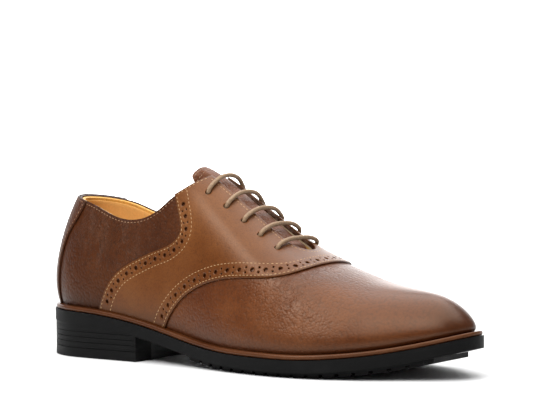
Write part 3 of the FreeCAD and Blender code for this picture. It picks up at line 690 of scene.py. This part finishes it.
M_VAMP = leather("vamp_leather", (0.108, 0.026, 0.0035), (0.077, 0.016, 0.002), (0.146, 0.041, 0.008),
                 pebble=1.5, depth=0.15, rough=0.37, spec=0.42, crease=0.35)
M_QUARTER = leather("quarter_leather", (0.058, 0.0135, 0.0022), (0.041, 0.0085, 0.0014),
                    (0.079, 0.021, 0.0045), pebble=1.7, depth=0.26, rough=0.42, crease=0.9, spec=0.26)
M_SADDLE = leather("saddle_leather", (0.140, 0.043, 0.0085), (0.106, 0.029, 0.005),
                   (0.180, 0.063, 0.016), pebble=0.8, depth=0.025, rough=0.36, spec=0.34, burnish=0.55)
M_TONGUE = leather("tongue_leather", (0.135, 0.042, 0.016), (0.100, 0.028, 0.010),
                   (0.175, 0.060, 0.026), pebble=1.4, depth=0.20, rough=0.45, spec=0.3)
M_LINING = leather("lining_leather", (0.80, 0.43, 0.105), (0.73, 0.37, 0.08), (0.85, 0.48, 0.135),
                   pebble=0.9, depth=0.03, rough=0.5, spec=0.25, burnish=0.2)
M_WELT = leather("welt_leather", (0.080, 0.023, 0.006), (0.056, 0.014, 0.0035), (0.104, 0.033, 0.010),
                 pebble=0.7, depth=0.03, rough=0.33, spec=0.3, burnish=0.0)
M_RUBBER = rubber("sole_rubber")
M_HEEL = rubber("heel_rubber", streak=True)
M_THREAD = grainy("seam_thread", (0.32, 0.18, 0.075), (0.50, 0.31, 0.145), rough=0.6, scale=1500,
                  depth=0.05)
M_DARK_THREAD = grainy("topline_thread", (0.20, 0.10, 0.05), (0.33, 0.19, 0.10), rough=0.6, scale=1500,
                       depth=0.05)
M_LACE = grainy("waxed_cotton", (0.185, 0.112, 0.060), (0.31, 0.198, 0.112), rough=0.62, scale=900,
                depth=0.08)
M_TIP = grainy("lace_tip_film", (0.16, 0.11, 0.06), (0.2, 0.14, 0.08), rough=0.25, scale=200, depth=0.01)
M_SUEDE = grainy("suede", (0.72, 0.38, 0.10), (0.81, 0.45, 0.135), rough=0.85, scale=1200, depth=0.1)
M_BOARD = grainy("fibreboard", (0.30, 0.22, 0.14), (0.42, 0.33, 0.22), rough=0.8, scale=700)
M_CORK = grainy("cork", (0.25, 0.14, 0.07), (0.5, 0.33, 0.18), rough=0.85, scale=450, depth=0.3)
M_CLOTH = grainy("lining_cloth", (0.50, 0.37, 0.22), (0.62, 0.48, 0.31), rough=0.85, scale=1400, depth=0.1)
M_FOAM = grainy("collar_foam", (0.5, 0.45, 0.36), (0.62, 0.57, 0.47), rough=0.9, scale=1500, depth=0.2)
M_STEEL = grainy("steel", (0.45, 0.45, 0.46), (0.6, 0.6, 0.61), rough=0.35, scale=300, depth=0.01,
                 metal=1.0, stretch=(0.1, 1, 1))
M_BRASS = grainy("brass", (0.55, 0.38, 0.14), (0.68, 0.5, 0.22), rough=0.35, scale=300, depth=0.01,
                 metal=1.0)


NODE_MATERIAL = {
    "outsole": M_RUBBER, "heel_block": M_HEEL, "heel_top_lift": M_HEEL, "forefoot_tread": M_RUBBER,
    "welt": M_WELT, "shank": M_STEEL, "cork_filler": M_CORK, "insole_board": M_BOARD,
    "footbed": M_LINING, "heel_nails": M_STEEL, "vamp": M_VAMP, "lateral_quarter": M_QUARTER,
    "medial_quarter": M_QUARTER, "saddle": M_SADDLE, "backstay": M_QUARTER, "heel_counter": M_BOARD,
    "collar_padding": M_FOAM, "toe_puff": M_BOARD, "lateral_facing_stay": M_CLOTH,
    "medial_facing_stay": M_CLOTH, "vamp_lining": M_CLOTH, "lateral_quarter_lining": M_LINING,
    "medial_quarter_lining": M_LINING, "heel_grip": M_SUEDE, "blind_eyelets": M_BRASS,
    "tongue": M_TONGUE, "tongue_lining": M_LINING, "lace": M_LACE, "lace_tips": M_TIP}
for name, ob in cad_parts.items():
    for slot in ob.material_slots:
        slot.material = NODE_MATERIAL[name]
    if not ob.material_slots:
        ob.data.materials.append(NODE_MATERIAL[name])


def add_low(ob):
    """How close each point is to the welt and the toe tip, for the darker burnish, partly painted shade,
    along the feather edge and under the toe.
    """
    me = ob.data
    co = np.empty(len(me.vertices) * 3)
    me.vertices.foreach_get("co", co)
    co = co.reshape(-1, 3) * 1000 + np.array([LENGTH / 2, CENTRE_Y, 0])
    h = co[:, 2] - (SOLE_TOP(co[:, 0]) + WELT)
    # the toe tip gets the same burnish and painted shade as the feather edge
    toe = ramp((co[:, 0] - 268) / 28) * ramp((30 - h) / 14)
    plain = np.maximum(ramp((co[:, 0] - 226) / 30), 0.45 * np.exp(-np.maximum(h, 0) / 12))
    vamp_bend = np.exp(-((co[:, 0] - 204) / 20) ** 2) * ramp(h / 26)
    quarter_bend = np.exp(-((co[:, 0] - 58) / 30) ** 2) * ramp((h - 16) / 24)
    flex = vamp_bend + quarter_bend
    values = {"low": np.maximum(np.exp(-np.maximum(h, 0) / 8.5), toe), "plain": plain, "flex": flex}
    for key, value in values.items():
        a = me.attributes.new(key, "FLOAT", "POINT")
        a.data.foreach_set("value", value.astype(np.float32))


def finish_piece(ob, mat, body, slot, *nodes):
    ob.data.materials.append(mat)
    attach(ob, body)
    if nodes:
        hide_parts(*nodes)
    return ob


# ------------------------------------------------------------------ camera
AZ, EL, ROLL, DIST = math.radians(34.5), math.radians(2.3), math.radians(-0.35), 1.3
cam = bpy.data.objects.new("camera", bpy.data.cameras.new("camera"))
bpy.context.collection.objects.link(cam)
cam.data.lens = 145.2
cam.data.sensor_width = 36.0
cam.data.clip_start = 0.05
back = Vector((math.sin(AZ) * math.cos(EL), -math.cos(AZ) * math.cos(EL), math.sin(EL)))
right = Vector((math.cos(AZ), math.sin(AZ), 0))
up = back.cross(right)
right, up = right * math.cos(ROLL) + up * math.sin(ROLL), up * math.cos(ROLL) - right * math.sin(ROLL)
aim = Vector((0.0065, -CENTRE_Y / 1000, 0.0991))
cam.matrix_world = Matrix.Translation(aim + back * DIST) @ Matrix((right, up, back)).transposed().to_4x4()
bpy.context.scene.camera = cam

# ------------------------------------------------------------------ eyelets and lace
EYELETS = [(130.2, 20.3), (143.7, 20.6), (156.7, 21.3), (169, 22.1), (181.5, 22.6)]
MEDIAL_REACH = 0.84
LACE_D = 2.8
LINING_IN = -(LEATHER + STIFF + LINING + 2 * GAP)
LACE_OUT = GAP + OVERLAY + LACE_D / 2 + 0.15
LACE_IN = LINING_IN - 0.2 - LACE_D / 2


def on_last(side, station, across):
    """t and w of the surface point at a station and a distance from the centre plane."""
    t, v = 0.5, 0.8
    for _ in range(25):
        e = 1e-4
        p = last(t, side * (1 - v))
        a = (last(t + e, side * (1 - v)) - p) / e
        b = (last(t, side * (1 - v - e)) - p) / e
        rs, ry = station - p[0], side * across - p[1]
        det = a[0] * b[1] - a[1] * b[0]
        t = min(0.98, max(0.02, t + (rs * b[1] - ry * b[0]) / det))
        v = min(0.985, max(0.02, v + (a[0] * ry - a[1] * rs) / det))
    return t, side * (1 - v)


def off(tw, d):
    return last(*tw) + normal(*tw) * d


def hole(side, k, shift=0.0, f=1.0):
    return on_last(side, EYELETS[k][0], EYELETS[k][1] * f * (MEDIAL_REACH if side > 0 else 1) + shift)


def bar(k, start):
    pts = [off(hole(start, k), LACE_OUT + 0.8)]
    for side, f, up in ((start, 0.55, 0.95), (start, 0.18, 0.3), (-start, 0.18, 0.3), (-start, 0.55, 0.95)):
        pts.append(off(hole(side, k, 0.0, f), LACE_OUT + up))
    return pts + [off(hole(-start, k), LACE_OUT + 0.8)]


def tail(side, spots):
    pts = []
    for station, v, in_by in spots:
        t = math.acos(1 - 2 * (station - HEEL_INSET) / UPPER) / math.pi
        pts.append(off((t, side * (1 - v)), LACE_IN - in_by))
    return pts


TAIL_A = [(148, 0.53, 0.5), (153, 0.40, 1.1), (164, 0.29, 1.9), (184, 0.23, 2.4), (208, 0.23, 3.0),
          (230, 0.27, 3.8), (249, 0.31, 5.0)]
TAIL_B = [(134, 0.53, 0.5), (139, 0.40, 1.1), (150, 0.29, 1.9), (168, 0.23, 2.4), (192, 0.22, 2.8),
          (216, 0.25, 3.6), (237, 0.30, 5.0)]
STEP = LACE_D + 0.5


def under(side, k, shift=0.0):
    return off(hole(side, k, shift), LACE_IN)


route = list(reversed(tail(-1, TAIL_A)))
route += [under(-1, 1)] + bar(1, -1) + [under(1, 1)]
route += [under(1, 2, STEP), under(1, 3)] + bar(3, 1) + [under(-1, 3)]
route += [under(-1, 4)] + bar(4, -1) + [under(1, 4)]
route += [under(1, 3, -STEP), under(1, 2)] + bar(2, 1) + [under(-1, 2)]
route += [under(-1, 1, -STEP), under(-1, 0)] + bar(0, -1) + [under(1, 0)]
route += tail(1, TAIL_B)

curve = bpy.data.curves.new("lace_line", "CURVE")
curve.dimensions = "3D"
curve.resolution_u = 24
spline = curve.splines.new("NURBS")
spline.points.add(len(route) - 1)
for pt, co in zip(spline.points, to_row(route)):
    pt.co = (*co, 1.0)
spline.order_u = 3
spline.use_endpoint_u = True
line = bpy.data.objects.new("lace_line", curve)
bpy.context.collection.objects.link(line)
dg = bpy.context.evaluated_depsgraph_get()
me = bpy.data.meshes.new_from_object(line.evaluated_get(dg))
centre = np.array([v.co[:] for v in me.vertices]) * 1000 + np.array([LENGTH / 2, CENTRE_Y, 0])
bpy.data.meshes.remove(me)
bpy.data.objects.remove(line)


def braided_tube(name, path, radius, pitch=0.42, sides=14, braid=0.055, wave=2.6):
    """Round braided lace along a path: crossing strands stand up as two opposed helices."""
    keep = np.r_[True, np.linalg.norm(np.diff(path, axis=0), axis=1) > 1e-5]
    path = path[keep]
    d = np.r_[0, np.cumsum(np.linalg.norm(np.diff(path, axis=0), axis=1))]
    n = int(d[-1] / pitch)
    u = np.linspace(0, d[-1], n)
    p = np.stack([np.interp(u, d, path[:, k]) for k in range(3)], 1)
    tan = np.gradient(p, axis=0)
    tan /= np.linalg.norm(tan, axis=1, keepdims=True)
    a = np.cross(tan[0], [0.3, 0.9, 0.2])
    frames = []
    for t in tan:
        a = a - t * (a @ t)
        a /= np.linalg.norm(a)
        frames.append(a)
    a = np.array(frames)
    b = np.cross(tan, a)
    ang = 2 * math.pi * np.arange(sides) / sides
    k = 2 * math.pi / wave
    h1 = np.cos(k * u[:, None] + 3 * ang[None])
    h2 = np.cos(k * u[:, None] - 3 * ang[None])
    r = radius * (1 - braid + braid * np.maximum(h1, h2))
    cos, sin = np.cos(ang)[None, :, None], np.sin(ang)[None, :, None]
    v = p[:, None] + (a[:, None] * cos + b[:, None] * sin) * r[..., None]
    faces = []
    for i in range(n - 1):
        for j in range(sides):
            m = (j + 1) % sides
            faces.append([i * sides + j, i * sides + m, (i + 1) * sides + m, (i + 1) * sides + j])
    faces.append(list(reversed(range(sides))))
    faces.append([(n - 1) * sides + j for j in range(sides)])
    return make_mesh(name, v.reshape(-1, 3), faces)


lace = outward(braided_tube("lace_cord", centre, LACE_D / 2))
finish_piece(lace, M_LACE, "shoe", "lace", "lace")

# ------------------------------------------------------------------ upper leather
g = Grid(0.27, 1.0, 190, -1, 1, 181)
back_edge = g.side(VAMP_BACK)
vamp = outward(sheet_mesh("vamp_leather_piece", g, back_edge, 0.0, -LEATHER))
add_low(vamp)
finish_piece(vamp, M_VAMP, "shoe", "vamp", "vamp")

dark_runs = []
for side, who in ((-1, "lateral"), (1, "medial")):
    w0, w1 = (-1, 0) if side < 0 else (0, 1)
    g = Grid(0.0, 0.72, 250, w0, w1, 111)
    top = top_gap(g.p)
    keep = np.minimum.reduce([-g.side(VAMP_BACK) - 0.3, top, slot_gap(g.p)])
    for k in range(5):
        h = last(*hole(side, k))
        keep = np.minimum(keep, np.linalg.norm(g.p - h, axis=-1) - 2.0)
    q = outward(sheet_mesh(who + "_quarter_leather", g, keep, 0.0, -LEATHER,
                           edge=np.minimum(top, keep + 9)))
    add_low(q)
    finish_piece(q, M_QUARTER, "shoe", who + "_quarter", who + "_quarter")
    # the lining stands out to meet the quarter along the mouth and throat
    lin = np.minimum.reduce([-g.side(VAMP_LINING_BACK) - 0.3, top - 0.15, slot_gap(g.p) - 1.2])
    for k in range(5):
        h = last(*hole(side, k))
        lin = np.minimum(lin, np.linalg.norm(g.p - h, axis=-1) - 2.2)
    hug = ramp(1 - np.minimum(top, slot_gap(g.p)) / 3.0)
    l_out = -(LEATHER + STIFF + 2 * GAP) + (STIFF + 1.5 * GAP) * hug
    ln = outward(sheet_mesh(who + "_lining_leather", g, lin, l_out, LINING_IN, lip=0.5))
    finish_piece(ln, M_LINING, "shoe", who + "_quarter_lining", who + "_quarter_lining")
    # one row just under the topline, from the backstay to the saddle
    reach = g.reach(np.where(top < 40, top, 40.0))
    dark_runs += g.contour(reach, 1.9, -g.side(SADDLE_REAR) - 0.8)

# soft edge padding, stopped short of the topline so the two leathers close over it
g = Grid(0.0, 0.42, 120, -1, 1, 221)
PADDING_LOW = smooth_curve([(-10, 79), (12, 79), (34, 76), (52, 71), (74, 68), (92, 73), (104, 80)])
pad_keep = np.minimum.reduce([top_gap(g.p) - 3.4, g.side(PADDING_LOW), 103 - g.p[..., 0]])
pad = outward(sheet_mesh("collar_foam_strip", g, pad_keep, -LEATHER - GAP, -LEATHER - GAP - STIFF, lip=0.3))
finish_piece(pad, M_FOAM, "shoe", "collar_padding", "collar_padding")

# ------------------------------------------------------------------ footbed: a cushioned sock liner
def footbed_ring(inset, lift):
    """One closed line of the footbed, lift millimetres above the sole's top."""
    s, y = outline(np.linspace(-1, 1, 241)[:-1], inset)
    return np.stack([s, y, SOLE_TOP(s) + lift], 1)


def footbed_crown(s, y):
    """Cupped heel and a low arch rise under the leather, above the flat cushion."""
    heel_cup = 0.7 * np.exp(-((s - 40) / 32) ** 2) * (np.abs(y) / 25) ** 2
    arch = 0.8 * np.exp(-((s - 118) / 34) ** 2) * ramp((y + 4) / 26)
    return heel_cup + arch


rows = [footbed_ring(SHOW + 5.9, 5.1), footbed_ring(SHOW + 5.9, 6.6), footbed_ring(SHOW + 6.3, 7.6),
        footbed_ring(SHOW + 7.2, 8.15), footbed_ring(SHOW + 8.4, 8.4), footbed_ring(SHOW + 9.3, 8.15),
        footbed_ring(SHOW + 10.4, 8.35)]
rim_row = rows[-1]
turns = np.linspace(-1, 1, 241)[:-1]
spine = np.clip(LENGTH * (1 - np.cos(math.pi * turns)) / 2, 45, 258)
for shrink in np.linspace(0.94, 0.0, 22):
    row = rim_row * shrink
    row[:, 0] += spine * (1 - shrink)
    row[:, 2] = SOLE_TOP(row[:, 0]) + 8.35 + footbed_crown(row[:, 0], row[:, 1]) * (1 - shrink ** 6)
    rows.append(row)
verts = np.concatenate(rows)
n = len(rim_row)
faces = [[i * n + j, i * n + (j + 1) % n, (i + 1) * n + (j + 1) % n, (i + 1) * n + j]
         for i in range(len(rows) - 1) for j in range(n)]
faces.append(list(range(n)))
bed = make_mesh("footbed_cushion", verts, faces)
bm = bmesh.new()
bm.from_mesh(bed.data)
bmesh.ops.remove_doubles(bm, verts=bm.verts, dist=0.0001)
bmesh.ops.recalc_face_normals(bm, faces=bm.faces)
bm.to_mesh(bed.data)
bm.free()
bed.data.shade_smooth()
finish_piece(bed, M_LINING, "shoe", "footbed", "footbed")

# ------------------------------------------------------------------ heel grip and vamp lining
g = Grid(0.0, 0.30, 90, -1, 1, 181)
GRIP_FRONT = smooth_curve([(44, 40), (47, 56), (52, 72), (57, 84), (60, 100)])
low_gap = g.p[..., 2] - (SOLE_TOP(0.0) + 10.0)
grip_keep = np.minimum.reduce([-g.side(GRIP_FRONT), top_gap(g.p) - 1.6, low_gap])
grip = outward(sheet_mesh("heel_grip_suede", g, grip_keep, LINING_IN - 0.02, LINING_IN - GAP - 0.8,
                          lip=0.4))
finish_piece(grip, M_SUEDE, "shoe", "heel_grip", "heel_grip")
g = Grid(0.33, 1.0, 120, -1, 1, 121)
cloth = outward(sheet_mesh("vamp_lining_cloth", g, g.side(VAMP_LINING_BACK), LINING_IN + LINING, LINING_IN))
finish_piece(cloth, M_CLOTH, "shoe", "vamp_lining", "vamp_lining")

# ------------------------------------------------------------------ saddle with its punched bands
g = Grid(0.19, 0.80, 560, -1, 1, 421)
front = -g.side(SADDLE_FRONT)
rear = g.side(SADDLE_REAR)
top = top_gap(g.p)
throat = slot_gap(g.p)
front_d, rear_d = g.reach(front, 16), g.reach(rear, 16)
throat_d = g.reach(throat, 12)
body = np.minimum.reduce([front, rear, top, throat])
body_d = np.minimum.reduce([front_d, rear_d, top, throat_d])
keep = body.copy()


def punch(keep, centre_pt, r):
    """Cuts a round hole by lowering keep near a point."""
    box = np.abs(g.p - centre_pt).max(-1) < r + 1.6
    ii, jj = np.nonzero(box)
    if len(ii) == 0:
        return
    sub = g.p[ii, jj]
    d = np.linalg.norm(sub - centre_pt, axis=1) - r
    keep[ii, jj] = np.minimum(keep[ii, jj], d)


BAND = 9.0
BIG_HOLE, SMALL_HOLE, EYELET_CUT = 1.28, 0.62, 1.8
holes_big, holes_small = [], []
FRONT_PITCH, REAR_PITCH = 8.9, 7.8
for dist, other, gap in ((front_d, np.minimum(rear, top) - 3, FRONT_PITCH),
                         (rear_d, np.minimum(front, top) - 3, REAR_PITCH)):
    mask = np.minimum(other, throat - 2)
    for chain in g.contour(dist, BAND * 0.54, mask):
        p, tan, nn = resample(chain, gap, 2.5)
        bi = np.cross(nn, tan)
        for c in p:
            holes_big.append(c)
        mid = (p[:-1] + p[1:]) / 2
        bm_ = (bi[:-1] + bi[1:]) / 2
        for c, b in zip(mid, bm_):
            holes_small += [c + b * 1.55, c - b * 1.55]
for c in holes_big:
    punch(keep, c, BIG_HOLE)
for c in holes_small:
    punch(keep, c, SMALL_HOLE)
for side in (-1, 1):
    for k in range(5):
        punch(keep, last(*hole(side, k)), EYELET_CUT)
saddle = outward(sheet_mesh("saddle_leather_piece", g, keep, GAP + OVERLAY, GAP, edge=body_d, lip=0.35))
add_low(saddle)
finish_piece(saddle, M_SADDLE, "shoe", "saddle", "saddle")

lift = GAP + OVERLAY
mask_f = np.minimum.reduce([rear, top, throat]) - 1.0
mask_r = np.minimum.reduce([front, top, throat]) - 1.0
runs = []
for level in (1.5, BAND):
    runs += g.contour(front_d, level, mask_f)
    runs += g.contour(rear_d, level, mask_r)
runs += g.contour(throat_d, 3.2, np.minimum.reduce([front - BAND, top - 1.5]))
runs += g.contour(g.reach(top, 14), 1.5, np.minimum.reduce([front - BAND, rear - 1, throat - 3.2]))
st = stitches("saddle_seams", runs, lift)
finish_piece(st, M_THREAD, "shoe", "saddle")
st = stitches("topline_seams", dark_runs, 0.0)
finish_piece(st, M_DARK_THREAD, "shoe", "lateral_quarter")

# ------------------------------------------------------------------ backstay
g = Grid(0.0, 0.24, 110, -1, 1, 261)
stay_f = -g.side(BACKSTAY)
top = top_gap(g.p)
keep = np.minimum(stay_f, top)
bk = outward(sheet_mesh("backstay_leather", g, keep, GAP + OVERLAY, GAP, lip=0.45))
add_low(bk)
finish_piece(bk, M_QUARTER, "shoe", "backstay", "backstay")
runs = g.contour(g.reach(stay_f), 1.5, top - 1.4)
runs += g.contour(g.reach(top), 1.5, stay_f - 1.5)
st = stitches("backstay_seams", runs, lift)
finish_piece(st, M_DARK_THREAD, "shoe", "backstay")

# ------------------------------------------------------------------ tongue
LACE_ROOM = LINING_IN - 0.4 - LACE_D - 0.3


def t_at(station):
    lo, hi = 0.0, 1.0
    for _ in range(40):
        k = (lo + hi) / 2
        if crest_station(k) < station:
            lo = k
        else:
            hi = k
    return lo


T0, T1 = t_at(113.0), t_at(195.0)
g = Grid(T0, T1, 110, -0.34, 0.34, 121)
ts, ty = g.p[..., 0], np.abs(g.p[..., 1])
free = (1 - ramp((ts - 114.5) / 6.5)) * ramp((25 - ty) / 9)
first, second = ramp((14.8 - ty) / 2.6), ramp((10.2 - ty) / 3.4)
depth = LACE_ROOM + 2.6 * np.maximum(first, free) * (1 - ramp((ts - 189) / 7))
depth += 3.3 * np.maximum(second, free) * (1 - ramp((ts - 181) / 9))
u = (g.t - T0) / (T1 - T0)
wide = np.abs(g.w) / 0.34
corner = 1 - (np.clip(1 - u * 9, 0, 1) ** 2 + np.clip(wide * 3.2 - 2.2, 0, 1) ** 2) ** 0.5
tg_keep = corner * 6 + 0.4
tongue = outward(sheet_mesh("tongue_leather_piece", g, tg_keep, depth, depth - LEATHER, lip=0.45))
finish_piece(tongue, M_TONGUE, "tongue", "tongue", "tongue")
tl = outward(sheet_mesh("tongue_lining_piece", g, tg_keep - 0.5, depth - LEATHER - 0.05,
                        depth - LEATHER - 1.0, lip=0.3))
finish_piece(tl, M_LINING, "tongue", "tongue_lining", "tongue_lining")
g.p = g.p + g.n * depth[..., None]
along_top = np.linalg.norm(g.p - g.p[:1], axis=-1)
runs = []
for level in (2.0, 5.0):
    runs += g.contour(along_top, level, tg_keep - 1.2)
st = stitches("tongue_seams", runs, 0.0)
if st:
    finish_piece(st, M_DARK_THREAD, "tongue", "tongue")

# ------------------------------------------------------------------ welt
profile = [(9.3, 0.06), (9.3, 2.6), (8.6, 2.95), (5.6, 2.98), (3.4, 2.9), (2.2, 2.98), (1.4, 2.8),
           (0.95, 2.35), (0.82, 1.7), (0.9, 1.0), (1.15, 0.45), (1.7, 0.08)]
tt = np.linspace(-1, 1, 361)[:-1]
verts, faces = [], []
for inset, dz in profile:
    s, y = outline(tt, inset)
    verts.append(np.stack([s, y, SOLE_TOP(s) + dz], 1))
n, m = len(tt), len(profile)
verts = np.concatenate(verts)
for i in range(m):
    for j in range(n):
        a, b = i, (i + 1) % m
        faces.append([a * n + j, a * n + (j + 1) % n, b * n + (j + 1) % n, b * n + j])
welt = outward(make_mesh("welt_strip", verts, faces))
finish_piece(welt, M_WELT, "shoe", "welt", "welt")

# ------------------------------------------------------------------ stage
view_dir = Vector((-math.sin(AZ), math.cos(AZ), 0))
cross_dir = Vector((math.cos(AZ), math.sin(AZ), 0))
fv, ff = [], []
COVE = 1.2
profile_run = [(-5.0, 0.0)] + [(0.2 * k, 0.0) for k in range(-10, 11)]
for k in range(1, 13):
    turn = k * math.pi / 24
    profile_run.append((2.0 + COVE * math.sin(turn), COVE - COVE * math.cos(turn)))
profile_run += [(3.2, 3.0)]
for d_, h_ in profile_run:
    for c_ in (-4.0, 4.0):
        q_ = view_dir * d_ + cross_dir * c_
        fv.append((q_.x, q_.y, h_))
for i in range(len(profile_run) - 1):
    ff.append((2 * i, 2 * i + 1, 2 * i + 3, 2 * i + 2))
floor_me = bpy.data.meshes.new("floor")
floor_me.from_pydata(fv, [], ff)
floor_me.shade_smooth()
floor = bpy.data.objects.new("floor", floor_me)
bpy.context.collection.objects.link(floor)
m, nt, bsdf = material("paper_floor")
noise = node(nt, "ShaderNodeTexNoise", in_Scale=3.0)
tone = ramp_node(nt, noise.outputs["Fac"], [(0.3, (0.72, 0.72, 0.72)), (0.7, (0.74, 0.74, 0.74))])
nt.links.new(tone.outputs[0], bsdf.inputs["Base Color"])
bsdf.inputs["Roughness"].default_value = 0.85
floor.data.materials.append(m)

world = bpy.data.worlds.new("studio")
bpy.context.scene.world = world
world.use_nodes = True
world.node_tree.nodes["Background"].inputs[0].default_value = (1, 1, 1, 1)
world.node_tree.nodes["Background"].inputs[1].default_value = 0.24


def area(name, loc, target, size, power, size_y=None):
    data = bpy.data.lights.new(name, "AREA")
    data.energy = power
    data.size = size
    if size_y:
        data.shape = "RECTANGLE"
        data.size_y = size_y
    ob = bpy.data.objects.new(name, data)
    bpy.context.collection.objects.link(ob)
    ob.location = loc
    ob.rotation_euler = (Vector(target) - Vector(loc)).to_track_quat("-Z", "Y").to_euler()


area("overhead", (0.06, 0.12, 1.5), (0.0, 0.0, 0.05), 2.0, 44.0)
area("key", (0.42, -0.85, 0.98), (0.0, 0.0, 0.07), 0.6, 5.0)
area("mouth_fill", (-0.16, -0.45, 0.50), (-0.085, 0.02, 0.08), 0.2, 2.5)
area("backdrop_light", (-0.6, 1.1, 1.4), (-1.6, 3.0, 0.6), 1.6, 190.0)
bpy.context.scene.view_settings.view_transform = "Standard"
